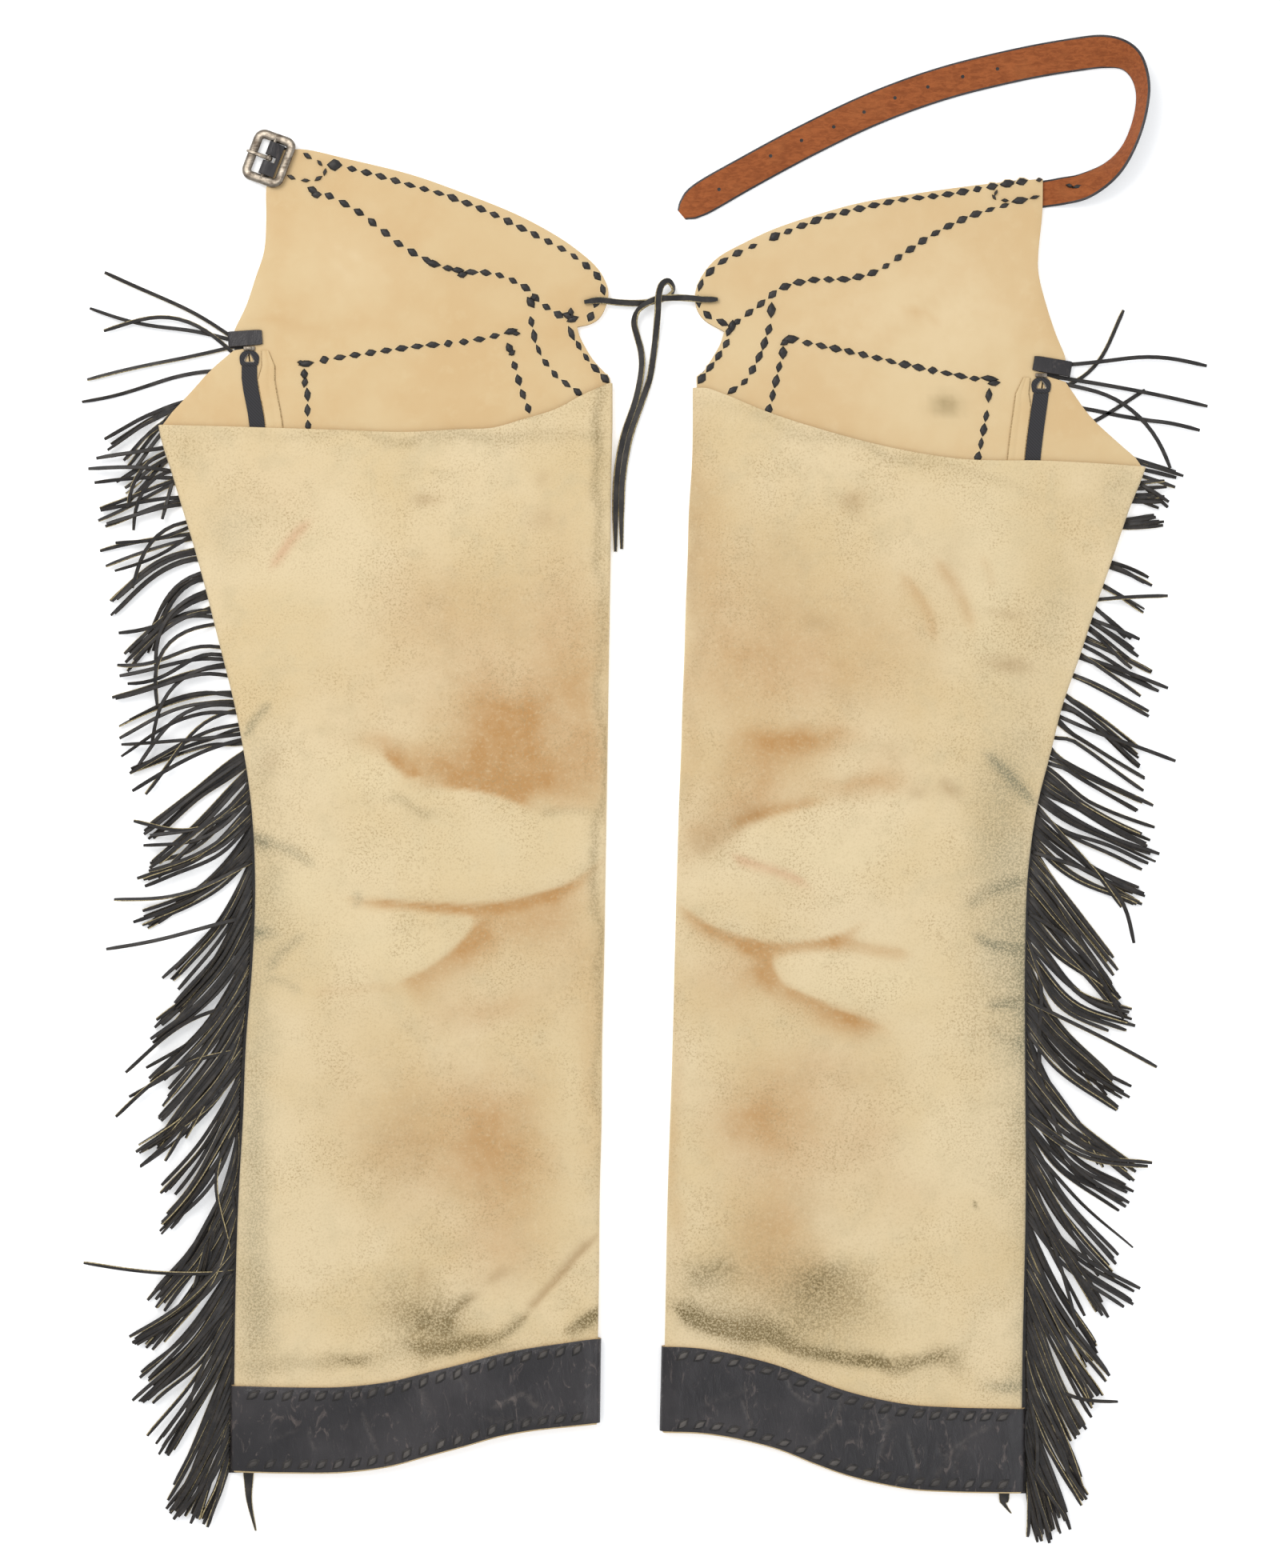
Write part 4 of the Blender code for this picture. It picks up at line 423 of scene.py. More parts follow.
# Fringe: at each height, how far below level the strands point where they leave the strip and at their
# tips, how long they are, how much the locks differ in direction, how many strands lie in a lock, how far
# these draw together, how much they wave, and by what share of their length they have drawn together
Fall = namedtuple("Fall", "y start end length spread lock gather wave by")
FALLS = {
    "left": (
        Fall(346, 10, 26, 116, 8, 2, 0.6, 6, 0.34), Fall(325, 8, 30, 118, 16, 2, 0.6, 9, 0.34),
        Fall(290, 5, 38, 116, 18, 3, 0.7, 10, 0.34), Fall(262, 0, 18, 117, 14, 3, 0.8, 9, 0.34),
        Fall(240, -2, 8, 118, 8, 4, 0.85, 8, 0.34), Fall(215, 2, 14, 114, 6, 4, 0.9, 6, 0.34),
        Fall(198, 4, 20, 112, 4, 5, 0.9, 4, 0.34), Fall(175, -10, 62, 112, 14, 2, 0.6, 6, 0.34),
        Fall(155, 6, 50, 110, 6, 5, 0.9, 4, 0.34), Fall(130, -14, 40, 108, 10, 3, 0.6, 8, 0.34),
        Fall(108, -8, 20, 108, 8, 2, 0.5, 9, 0.34), Fall(85, -4, 22, 108, 8, 2, 0.5, 9, 0.34),
        Fall(62, 2, 36, 108, 9, 3, 0.6, 8, 0.34), Fall(44, 12, 26, 110, 8, 3, 0.7, 6, 0.34),
        Fall(28, 34, 34, 106, 8, 6, 0.8, 5, 0.6), Fall(10, 48, 30, 104, 8, 7, 0.8, 5, 0.7),
        Fall(-40, 56, 32, 110, 11, 6, 0.75, 6, 0.95), Fall(-90, 60, 40, 112, 12, 6, 0.7, 6, 0.95),
        Fall(-140, 62, 44, 114, 12, 7, 0.7, 6, 0.95), Fall(-200, 64, 47, 111, 11, 8, 0.7, 5, 0.95),
        Fall(-320, 66, 54, 113, 11, 8, 0.65, 5, 0.95), Fall(-380, 64, 52, 112, 9, 7, 0.7, 6, 0.95),
        Fall(-450, 66, 58, 106, 7, 8, 0.7, 5, 0.95), Fall(-490, 68, 64, 82, 6, 6, 0.6, 4, 0.95),
        Fall(-515, 70, 66, 58, 6, 5, 0.6, 4, 0.95), Fall(-534, 75, 70, 38, 8, 4, 0.5, 3, 0.95),
    ),
    "right": (
        Fall(326, -4, 4, 116, 8, 2, 0.6, 6, 0.34), Fall(303, 14, 20, 116, 10, 2, 0.85, 6, 0.34),
        Fall(275, 20, 24, 113, 10, 2, 0.9, 4, 0.34), Fall(255, 14, 14, 103, 6, 4, 0.85, 3, 0.34),
        Fall(235, 4, -4, 96, 5, 3, 0.85, 5, 0.34), Fall(212, 6, 0, 97, 5, 5, 0.85, 3, 0.34),
        Fall(190, 28, 30, 98, 6, 2, 0.8, 3, 0.34), Fall(165, 34, 36, 98, 6, 5, 0.9, 3, 0.34),
        Fall(148, 30, 34, 100, 10, 3, 0.7, 4, 0.34), Fall(125, 16, 18, 103, 6, 6, 0.85, 4, 0.34),
        Fall(105, 24, 30, 104, 6, 3, 0.8, 3, 0.34), Fall(82, 30, 36, 102, 6, 6, 0.85, 3, 0.34),
        Fall(60, 30, 34, 100, 8, 7, 0.8, 3, 0.34), Fall(35, 36, 22, 102, 8, 6, 0.8, 5, 0.34),
        Fall(10, 40, 20, 106, 10, 7, 0.75, 6, 0.6), Fall(-15, 46, 22, 106, 8, 7, 0.8, 5, 0.95),
        Fall(-45, 50, 50, 108, 12, 6, 0.7, 6, 0.95), Fall(-75, 54, 52, 110, 12, 7, 0.7, 6, 0.95),
        Fall(-105, 60, 42, 110, 10, 8, 0.8, 7, 0.95), Fall(-170, 62, 44, 106, 9, 7, 0.75, 6, 0.95),
        Fall(-260, 62, 50, 112, 8, 8, 0.7, 5, 0.95), Fall(-385, 68, 56, 110, 7, 9, 0.7, 4, 0.95),
        Fall(-450, 74, 62, 104, 6, 8, 0.7, 4, 0.95), Fall(-490, 76, 68, 84, 6, 7, 0.6, 4, 0.95),
        Fall(-520, 80, 72, 60, 6, 5, 0.6, 3, 0.95), Fall(-550, 82, 78, 36, 7, 4, 0.5, 3, 0.95),
    ),
}
STRAND_PITCH, CLOSE_PITCH = 3.9, 2.9
STRANDS_FROM = {"left": 321, "right": 300}
THIN_ABOVE, THIN_SHARE = 34, 0.22
STRAND_SIZE = (3.1, 1.1)
STRAND_STEPS = 16
STRAY_SHARE = 0.1
PALE_SHARE = 0.5
STRAND_TOP = 8.6
STRAND_LOW = 0.95
# A record of what a sheet of leather or tape was cut to: its width, its length, its area where it isn't a
# rectangle, and what it lies on. No sheet is given one here.
Cut = namedtuple("Cut", "width length area rests_on")
# Strands that stand out of their locks: where they start, how they point at their root and tip, and at
# what share of their length they turn
Stray = namedtuple("Stray", "side y start end length lift turns")
STRAYS = (
    Stray("left", 345, -34, -22, 114, 5, 0.4), Stray("left", 344, -14, -12, 116, 4, 0.4),
    Stray("left", 340, 14, 12, 118, 3, 0.4), Stray("left", 333, -42, 14, 112, 5, 0.4),
    Stray("left", 266, 2, 92, 118, 8, 0.66), Stray("left", 246, 0, 84, 116, 7, 0.6),
    Stray("left", 208, 4, 68, 114, 8, 0.5), Stray("left", 160, 20, 92, 114, 7, 0.55),
    Stray("left", 128, 10, 88, 112, 8, 0.5), Stray("left", 96, 10, 80, 110, 7, 0.5),
    Stray("left", 60, 14, 60, 108, 7, 0.4), Stray("left", -102, 14, 12, 114, 8, 0.4),
    Stray("left", -60, 30, 4, 112, 8, 0.4), Stray("left", -170, 12, 44, 108, 8, 0.4),
    Stray("left", -206, 10, 42, 112, 8, 0.4), Stray("left", -378, 2, -8, 116, 8, 0.4),
    Stray("right", 325, -4, 4, 116, 5, 0.4), Stray("right", 316, 10, 12, 118, 4, 0.4),
    Stray("right", 312, 14, 78, 116, 6, 0.6), Stray("right", 268, -18, -34, 84, 6, 0.4),
    Stray("right", 306, -24, -70, 84, 6, 0.4), Stray("right", 142, 0, -4, 100, 8, 0.4),
    Stray("right", -52, 18, 70, 116, 8, 0.5), Stray("right", -100, 30, 62, 112, 8, 0.4),
    Stray("right", 62, 28, 18, 116, 7, 0.4), Stray("right", -122, 70, 96, 104, 7, 0.4),
    Stray("right", -168, 26, 28, 112, 8, 0.4),
)
Tail = namedtuple("Tail", "x1 x2 tip_x tip_y")
TAILS = {"left": Tail(-314, -304, -303.5, -579), "right": Tail(274.5, 280, 282.5, -565.5)}

Strap = namedtuple("Strap", "x y roll width")
BELT = (
    Strap(27, 442, 0, 10), Strap(33, 447, 0, 20), Strap(44.5, 455.5, 0, 26), Strap(78.5, 475, 0, 26),
    Strap(125, 500, 0, 26), Strap(176.5, 524.5, 0, 26), Strap(230.5, 544, 0, 26), Strap(289, 558.5, 0, 26),
    Strap(332.5, 566, 6, 26), Strap(355, 567.5, 24, 26), Strap(371, 562.5, 50, 26), Strap(380, 551, 68, 26),
    Strap(383.5, 534, 75, 26), Strap(380, 512, 75, 26), Strap(371.5, 491, 70, 26), Strap(358, 474.5, 52, 25),
    Strap(339, 463.5, 26, 23.5), Strap(322, 460, 8, 22), Strap(308, 458, 0, 21), Strap(281, 454, 0, 21),
    Strap(270, 452.8, 0, 19), Strap(265.5, 452.4, 0, 12),
)
BELT_HOLES = ((56, 461.5), (96, 487.5), (120, 499.5), (145, 510), (168.5, 521.5), (192.5, 532.5), (218, 541),
              (245, 549), (272, 555), (300.5, 559))

BUCKLE_AT = (-293, 485)
BUCKLE_TURN = -21
BUCKLE_TILT = -11.3
BAR_HEIGHT = 5.1
BAR_RADIUS = 1.5
FRAME_HALF = (14, 17)
FRAME_SIDE = (3.5, 1.3)
FRAME_CORNER = 5
STRAP_HALF = 13
SLOT_HALF = 2.4
SLOT_REACH = 8
STRAP_PATH = ((8.5, 5.9), (5.5, 6.5), (2.5, 7.6), (0, 7.9), (-2, 7.1), (-2.8, 5.1), (-2.3, 3), (0, 1.4),
              (3, 1), (8, 1), (20, 1), (33, 1), (39.5, 1), (42.6, 1), (43.6, 1))
STRAP_ROUND = ((33, 13), (39.5, 10.5), (42.6, 6.5), (43.6, 3.2))
TONGUE_PATH = ((-2.1, 0.9, 3.2), (-6, 1.9, 3.2), (-10.5, 2.5, 2.8), (-14, 2.7, 2.6), (-18, 2.2, 1.8))
TONGUE_THICK = 1.5
TONGUE_RING = 2.35
TONGUE_RING_SIZE = (1.1, 3.2)

Lace = namedtuple("Lace", "x y z")
LACES = {
    "left": (
        Lace(-48.5, 373.5, 6.8), Lace(-36.5, 375, 6.9), Lace(-24, 373.5, 6), Lace(-10, 373, 4), Lace(2, 374, 2.6),
        Lace(14, 377, 2.5), Lace(20.5, 383, 5), Lace(17, 389.5, 8), Lace(11.5, 386.5, 9.8), Lace(9, 377.5, 10.4),
        Lace(8.5, 366, 8.5), Lace(7.5, 354, 4.5), Lace(6.5, 343, 2.3), Lace(4.5, 328, 2.1), Lace(2, 314, 2.1),
        Lace(-3, 299, 2.1), Lace(-13, 269.5, 2.1), Lace(-18.5, 239, 2.1), Lace(-19.7, 211, 2.1),
        Lace(-19.5, 182.5, 2.1),
    ),
    "right": (
        Lace(55, 375.5, 6.8), Lace(44.5, 375.5, 6.9), Lace(33, 376.5, 6.6), Lace(21, 377, 6.3), Lace(8.5, 376, 6.3),
        Lace(0, 372.5, 6.8), Lace(-7, 366.5, 7), Lace(-9.8, 358, 5), Lace(-7.5, 347.5, 2.6), Lace(-4.5, 336, 2.1),
        Lace(-4, 321.5, 2.1), Lace(-8.5, 298, 2.1), Lace(-18.2, 269.5, 2.1), Lace(-23.3, 241, 2.1),
        Lace(-24.4, 211, 2.1), Lace(-24.3, 180.5, 2.1),
    ),
}
LACE_WIDE, LACE_THICK = 5.2, 2.0
LACE_TURNS = {"left": (0, 10, -8, 5, 30, 60, 75, 20, 0, -10, -20, 0, 15, 0, -10, 10, 25, 15, 5, 0),
              "right": (0, -8, 10, -25, -10, 20, 45, 20, 0, 10, 25, 10, -10, -25, -10, 0)}


def smooth(points, steps):
    """A curve through the points, with each stretch cut in steps parts."""
    p = np.array(points, float)
    p = np.vstack([2 * p[0] - p[1], p, 2 * p[-1] - p[-2]])
    out = []
    for a, b, c, d in zip(p, p[1:], p[2:], p[3:]):
        for t in np.arange(steps) / steps:
            bend = (c - a) * t + (2 * a - 5 * b + 4 * c - d) * t**2 + (3 * b - a - 3 * c + d) * t**3
            out.append(b + bend / 2)
    return np.array(out + [p[-2]])


def glide(at, xs, ys):
    """A smooth curve through a table's points, read at the places at."""
    xs, ys = np.array(xs, float), np.array(ys, float)
    slope = np.gradient(ys, xs)
    at = np.clip(at, xs[0], xs[-1])
    i = np.clip(np.searchsorted(xs, at, side="right") - 1, 0, len(xs) - 2)
    wide = xs[i + 1] - xs[i]
    t = (at - xs[i]) / wide
    a, b, m, n = ys[i], ys[i + 1], slope[i] * wide, slope[i + 1] * wide
    return a + m * t + (3 * (b - a) - 2 * m - n) * t**2 + (2 * (a - b) + m + n) * t**3


def column(table, name, at):
    """A column of a table with named columns, read smoothly along its first column."""
    rows = sorted(table)
    return glide(at, [r[0] for r in rows], [getattr(r, name) for r in rows])


def edge(side, y, name):
    return column(LEVELS[side], name, y)


def ease(value, low, high):
    """0 at low, 1 at high, and smooth between."""
    t = np.clip((np.asarray(value, float) - low) / (high - low), 0, 1)
    return t * t * (3 - 2 * t)


def cloud(x, y, size, seed, octaves=4):
    """Cloudy noise from 0 to 1 over the plane, its largest forms size wide."""
    total, weight = np.zeros(np.shape(x)), 0.0
    for octave in range(octaves):
        grid = np.random.default_rng(seed + octave).random((64, 64))
        u, v = np.asarray(x) / size * 2**octave, np.asarray(y) / size * 2**octave
        i, j = np.floor(u).astype(int), np.floor(v).astype(int)
        s, t = ease(u - i, 0, 1), ease(v - j, 0, 1)
        i, j, k, m = i % 64, j % 64, (i + 1) % 64, (j + 1) % 64
        value = (grid[i, j] * (1 - s) + grid[k, j] * s) * (1 - t) + (grid[i, m] * (1 - s) + grid[k, m] * s) * t
        total += value * 0.5**octave
        weight += 0.5**octave
    return total / weight


def beside(points, x, y, reach):
    """How far places are to the left of a line, negative to its right, and how far along it, as a share.

    Places further off than reach are given as far away.
    """
    line = smooth(points, 4)[:, :2]
    steps = np.diff(line, axis=0)
    sizes = np.linalg.norm(steps, axis=1)
    starts = np.concatenate([[0], np.cumsum(sizes)])
    best, along = np.full(np.shape(x), FAR), np.zeros(np.shape(x))
    low, high = line.min(axis=0) - reach, line.max(axis=0) + reach
    near = (x > low[0]) & (x < high[0]) & (y > low[1]) & (y < high[1])
    if not near.any():
        return best, along
    px, py = x[near], y[near]
    way, turn, share = np.full(px.shape, FAR), np.ones(px.shape), np.zeros(px.shape)
    for a, d, size, start in zip(line, steps, sizes, starts):
        dx, dy = px - a[0], py - a[1]
        t = np.clip((dx * d[0] + dy * d[1]) / size**2, 0, 1)
        off = np.hypot(dx - t * d[0], dy - t * d[1])
        closer = off < way
        way = np.where(closer, off, way)
        turn = np.where(closer, np.sign(d[0] * dy - d[1] * dx), turn)
        share = np.where(closer, (start + t * size) / starts[-1], share)
    best[near], along[near] = way * turn, share
    return best, along


def creased(crease, x, y):
    """How much of a crease reaches each place, from 0 to 1: full on its line, and less at its ends."""
    away, along = beside(crease.points, x, y, 3 * max(crease.above, crease.below))
    taper = ease(along, -0.08, CREASE_START) * (1 - ease(along, CREASE_END, 1.08))
    reach = np.where(away > 0, crease.above, crease.below) * (0.35 + 0.65 * taper)
    return taper * np.exp(-((away / reach) ** 2))


def within(lens, x, y):
    """How far inside the outline of a lens each place is, negative outside."""
    line = smooth([*lens.points, lens.points[0]], 3)
    away, _ = beside(line, x, y, 3 * lens.soft)
    inside = np.zeros(np.shape(x), bool)
    for (ax, ay), (bx, by) in zip(line, line[1:]):
        if ay != by:
            inside ^= ((ay > y) != (by > y)) & (x < (bx - ax) * (y - ay) / (by - ay) + ax)
    return np.where(inside, 1, -1) * np.abs(away)


def level_spot(side, down, x_of):
    """The points on level lines of a leg whose x is x_of(y)."""
    y = np.zeros(np.shape(down))
    for _ in range(6):
        x = x_of(y)
        inner = edge(side, y, "inner")
        share = np.clip((x - inner) / (edge(side, y, "outer") - inner), 0, 1)
        top = column(BACK_TOP[side], "y", share)
        y = top + (column(HEM[side], "y", share) - top) * down
    return x, y


def front_height(side, down, x, y):
    """How high the middle of the front's wall is."""
    s = SIGN[side]
    inward = s * (edge(side, y, "zip") - x)
    along = np.interp(down, *zip(*RAISED_AT))
    along = along * along * (3 - 2 * along)
    across = 1 - ease(inward, ZIP_FLAT, ZIP_SLOPE)
    return FRONT_LOW + FRONT_RISE * np.maximum(along, across)


# ---------------------------------------------------------------- meshes
def new_object(name, mesh, *materials):
    obj = bpy.data.objects.new(name, mesh)
    bpy.context.scene.collection.objects.link(obj)
    for material in materials:
        mesh.materials.append(material)
    return obj


def from_bmesh(name, bm, *materials):
    """An object from points in millimetres."""
    bmesh.ops.scale(bm, vec=(MM, MM, MM), verts=bm.verts)
    mesh = bpy.data.meshes.new(name)
    bm.to_mesh(mesh)
    bm.free()
    return new_object(name, mesh, *materials)


def settle(obj, angle=35):
    """Applies the modifiers and shades the mesh smooth, with edges sharper than the angle kept."""
    graph = bpy.context.evaluated_depsgraph_get()
    mesh = bpy.data.meshes.new_from_object(obj.evaluated_get(graph), preserve_all_data_layers=True, depsgraph=graph)
    obj.modifiers.clear()
    obj.data = mesh
    for polygon in mesh.polygons:
        polygon.use_smooth = True
    mesh.set_sharp_from_angle(angle=math.radians(angle))
    return obj


def thicken(obj, thickness, inside=0, rim=0, bevel=0.35):
    solid = obj.modifiers.new("wall", "SOLIDIFY")
    solid.thickness = thickness * MM
    solid.offset = 0
    solid.material_offset = inside
    solid.material_offset_rim = rim
    if bevel:
        rounding = obj.modifiers.new("edges", "BEVEL")
        rounding.width = bevel * MM
        rounding.segments = 2
        rounding.limit_method = "ANGLE"
        rounding.angle_limit = math.radians(60)
    return settle(obj)


def grid(bm, rows, material=0, closed=False):
    """Faces between rows of equally many points; returns the rows' vertices."""
    verts = [[bm.verts.new(p) for p in row] for row in rows]
    for upper, lower in zip(verts, verts[1:]):
        pairs = list(zip(upper, upper[1:], lower[1:], lower))
        if closed:
            pairs.append((upper[-1], upper[0], lower[0], lower[-1]))
        for a, b, c, d in pairs:
            bm.faces.new((a, b, c, d)).material_index = material
    return verts


def tube(bm, rings, materials):
    """A solid through rings of points; materials has one index for each side of the ring."""
    verts = [[bm.verts.new(p) for p in ring] for ring in rings]
    count = len(verts[0])
    for a, b in zip(verts, verts[1:]):
        for i in range(count):
            j = (i + 1) % count
            bm.faces.new((a[i], a[j], b[j], b[i])).material_index = materials[i]
    bm.faces.new(verts[0][::-1]).material_index = materials[0]
    bm.faces.new(verts[-1]).material_index = materials[0]


def band_rings(centres, sides, widths, thickness, edge_in=0.45):
    """Rings of a flat band with chamfered edges: its upper face is side 0 of each ring."""
    p = np.array(centres, float)
    ahead = np.gradient(p, axis=0)
    rings = []
    for centre, forward, side, width in zip(p, ahead, sides, widths):
        side = np.array(side, float)
        side = side / np.linalg.norm(side)
        up = np.cross(forward, side)
        up = up / np.linalg.norm(up)
        if up[2] < -0.2:
            up = -up
        half, t = width / 2, thickness / 2
        inner = max(half - edge_in, 0.3 * half)
        rings.append([centre + side * a + up * b for a, b in (
            (inner, t), (-inner, t), (-half, 0.15 * t), (-half, -0.5 * t), (-inner, -t), (inner, -t),
            (half, -0.5 * t), (half, 0.15 * t))])
    return rings


BAND_SIDES = (0, 1, 1, 1, 2, 1, 1, 1)  # top face, cut edges, underside


def ride(obj, body, *nodes):
    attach(obj, body)
    if nodes:
        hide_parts(*nodes)
    return obj


# ---------------------------------------------------------------- materials
def shade(red, green, blue):
    """A colour given as on a screen, 0 to 255, as the shader needs it."""
    out = []
    for part in (red, green, blue):
        v = part / 255
        out.append(v / 12.92 if v <= 0.04045 else ((v + 0.055) / 1.055) ** 2.4)
    return (*out, 1)


class Look:
    """A material with helpers that add its nodes."""

    def __init__(self, name, roughness=0.6, metallic=0.0, **plain):
        self.material = bpy.data.materials.new(name)
        self.material.use_nodes = True
        self.tree = self.material.node_tree
        self.shader = self.tree.nodes["Principled BSDF"]
        self.set("Roughness", roughness)
        self.set("Metallic", metallic)
        for key, value in plain.items():
            self.set(key.replace("_", " "), value)
        self.place = self.add("ShaderNodeTexCoord").outputs["Object"]

    def add(self, kind, **props):
        node = self.tree.nodes.new(kind)
        for key, value in props.items():
            setattr(node, key, value)
        return node

    def link(self, value, socket):
        if hasattr(value, "is_output"):
            self.tree.links.new(value, socket)
        else:
            socket.default_value = value

    def set(self, name, value):
        self.link(value, self.shader.inputs[name])

    def noise(self, scale, detail=4, rough=0.55, twist=0.0, place=None):
        node = self.add("ShaderNodeTexNoise")
        self.link(place or self.place, node.inputs["Vector"])
        node.inputs["Scale"].default_value = scale
        node.inputs["Detail"].default_value = detail
        node.inputs["Roughness"].default_value = rough
        node.inputs["Distortion"].default_value = twist
        return node.outputs["Fac"]

    def cells(self, scale, place=None, feature="F1"):
        node = self.add("ShaderNodeTexVoronoi", feature=feature)
        self.link(place or self.place, node.inputs["Vector"])
        node.inputs["Scale"].default_value = scale
        return node.outputs["Distance"]

    def stretch(self, scale, turn=0.0):
        node = self.add("ShaderNodeMapping")
        self.link(self.place, node.inputs["Vector"])
        node.inputs["Rotation"].default_value = (0, 0, math.radians(turn))
        node.inputs["Scale"].default_value = scale
        return node.outputs["Vector"]

    def layer(self, name):
        return self.add("ShaderNodeAttribute", attribute_name=name).outputs["Fac"]

    def span(self, value, low, high, to_low=0.0, to_high=1.0):
        node = self.add("ShaderNodeMapRange", interpolation_type="SMOOTHSTEP")
        for name, v in (("Value", value), ("From Min", low), ("From Max", high), ("To Min", to_low), ("To Max", to_high)):
            self.link(v, node.inputs[name])
        return node.outputs["Result"]

    def math(self, kind, a, b=0.0):
        node = self.add("ShaderNodeMath", operation=kind)
        self.link(a, node.inputs[0])
        self.link(b, node.inputs[1])
        return node.outputs[0]

    def mix(self, factor, a, b, kind="MIX"):
        node = self.add("ShaderNodeMix", data_type="RGBA", blend_type=kind)
        self.link(factor, node.inputs["Factor"])
        self.link(a, node.inputs[6])
        self.link(b, node.inputs[7])
        return node.outputs[2]

    def bump(self, height, distance, strength=1.0, normal=None):
        node = self.add("ShaderNodeBump")
        node.inputs["Strength"].default_value = strength
        node.inputs["Distance"].default_value = distance
        self.link(height, node.inputs["Height"])
        if normal:
            self.link(normal, node.inputs["Normal"])
        return node.outputs["Normal"]


def suede_look():
    """Rough-out leather: a speckled nap over cloudy tan, with the stains that the mesh carries; the olive layer also
    carries painted shade along the left leg's inner fold.
    """
    look = Look("suede", roughness=0.92, Sheen_Weight=0.18, Sheen_Roughness=0.5, Specular_IOR_Level=0.2)
    broad, patches, grain = look.noise(9, 3), look.noise(55, 4), look.noise(620, 3, 0.7)
    nap = look.noise(330, 3, 0.65)
    colour = look.mix(look.span(broad, 0.35, 0.65), shade(*SUEDE_DEEP), shade(*SUEDE_LIGHT))
    colour = look.mix(look.span(patches, 0.45, 0.75, 0, 0.45), colour, shade(*SUEDE_GREY))
    pale = look.math("MULTIPLY", look.layer("pale"), look.span(patches, 0.2, 0.6, 0.75, 1))
    colour = look.mix(pale, colour, shade(*SUEDE_PALE))
    cut = look.span(look.noise(95, 4, 0.6), 0.3, 0.7, 0.85, 1.05)
    for layer, tint in (("rust", SUEDE_RUST), ("brown", SUEDE_BROWN), ("red", SUEDE_RED)):
        colour = look.mix(look.math("MULTIPLY", look.layer(layer), cut), colour, shade(*tint))
    speck = look.span(grain, 0.36, 0.64, 0.4, 1.25)
    # The olive layer is olive stains plus painted shade along the left leg's inner fold.
    for layer, tint in (("olive", SUEDE_OLIVE), ("dirt", SUEDE_DIRT)):
        colour = look.mix(look.math("MULTIPLY", look.layer(layer), speck), colour, shade(*tint))
    rubbed = look.span(look.noise(22, 4, 0.6), 0.4, 0.66, 0.25, 0.85)
    dots = look.math("MULTIPLY", look.span(grain, 0.46, 0.7, 0, 0.85), rubbed)
    colour = look.mix(dots, colour, shade(*SUEDE_SPECK))
    colour = look.mix(look.span(nap, 0.5, 0.74, 0, 0.28), colour, shade(*SUEDE_LIGHT))
    look.set("Base Color", colour)
    rough = look.bump(look.math("ADD", grain, nap), 0.0004, 0.5)
    look.set("Normal", look.bump(patches, 0.0008, 0.35, rough))
    return look.material


def smooth_look(name, light, deep, wear):
    """Smooth tan leather with fine pores, soft mottling and the marks that the mesh carries."""
    look = Look(name, roughness=0.55, Specular_IOR_Level=0.35)
    broad, mottle = look.noise(11, 4), look.noise(70, 4, 0.6)
    pores = look.noise(1500, 2, 0.6)
    colour = look.mix(look.span(broad, 0.35, 0.65), shade(*light), shade(*deep))
    colour = look.mix(look.span(mottle, 0.5, 0.75, 0, 0.35), colour, shade(*wear))
    for layer, tint in (("pale", PANEL_PALE), ("rust", PANEL_RUST), ("olive", PANEL_OLIVE)):
        amount = look.math("MULTIPLY", look.layer(layer), look.span(mottle, 0.25, 0.6, 0.6, 1))
        colour = look.mix(amount, colour, shade(*tint))
    look.set("Base Color", colour)
    look.set("Roughness", look.span(mottle, 0.3, 0.7, 0.48, 0.62))
    fine = look.bump(pores, 0.0001, 0.4)
    waves = look.bump(look.noise(16, 2), 0.004, 0.35, fine)
    look.set("Normal", look.bump(mottle, 0.0005, 0.25, waves))
    return look.material


def raw_edge_look(name, light, deep):
    """The cut edge of leather, with fibres across its thickness."""
    look = Look(name, roughness=0.9)
    fibres = look.noise(700, 3, 0.7)
    look.set("Base Color", look.mix(look.span(fibres, 0.35, 0.65), shade(*light), shade(*deep)))
    look.set("Normal", look.bump(fibres, 0.0003, 0.6))
    return look.material


def black_leather_look(name, gloss, scuffs):
    """Black leather with a pebbled grain, fine wrinkles and brownish scuffs, more of them where the mesh says."""
    look = Look(name, roughness=0.45, Specular_IOR_Level=0.5)
    grain, broad = look.cells(900), look.noise(14, 4)
    wrinkles = look.noise(60, 5, 0.6, 1.2, look.stretch((1, 0.4, 1), 24))
    cracks = look.noise(95, 6, 0.65, 1.6, look.stretch((1.2, 0.5, 1), 28))
    colour = look.mix(look.span(broad, 0.35, 0.7), shade(*BLACK_DEEP), shade(*BLACK_LIGHT))
    worn = look.span(cracks, 0.56, 0.7, 0, scuffs)
    colour = look.mix(worn, colour, shade(*BLACK_SCUFF))
    rubbed = look.math("MULTIPLY", look.layer("scuff"), look.span(look.noise(260, 4, 0.7), 0.36, 0.6, 0.1, 0.9))
    colour = look.mix(rubbed, colour, shade(*BLACK_RUBBED))
    look.set("Base Color", colour)
    look.set("Roughness", look.span(wrinkles, 0.3, 0.7, gloss - 0.08, gloss + 0.12))
    fine = look.bump(grain, 0.00018, 0.35)
    creased = look.bump(wrinkles, 0.0022, 0.5, fine)
    look.set("Normal", look.bump(cracks, 0.001, 0.5, creased))
    return look.material


def thong_look():
    """Dull black thong leather with grain and worn spots."""
    look = Look("thong", roughness=0.5, Specular_IOR_Level=0.45)
    grain, worn = look.noise(1300, 3, 0.6), look.noise(120, 4, 0.6)
    colour = look.mix(look.span(worn, 0.4, 0.7), shade(*THONG_DEEP), shade(*THONG_LIGHT))
    colour = look.mix(look.span(grain, 0.6, 0.8, 0, 0.4), colour, shade(*BLACK_SCUFF))
    look.set("Base Color", colour)
    look.set("Normal", look.bump(grain, 0.0002, 0.5))
    return look.material


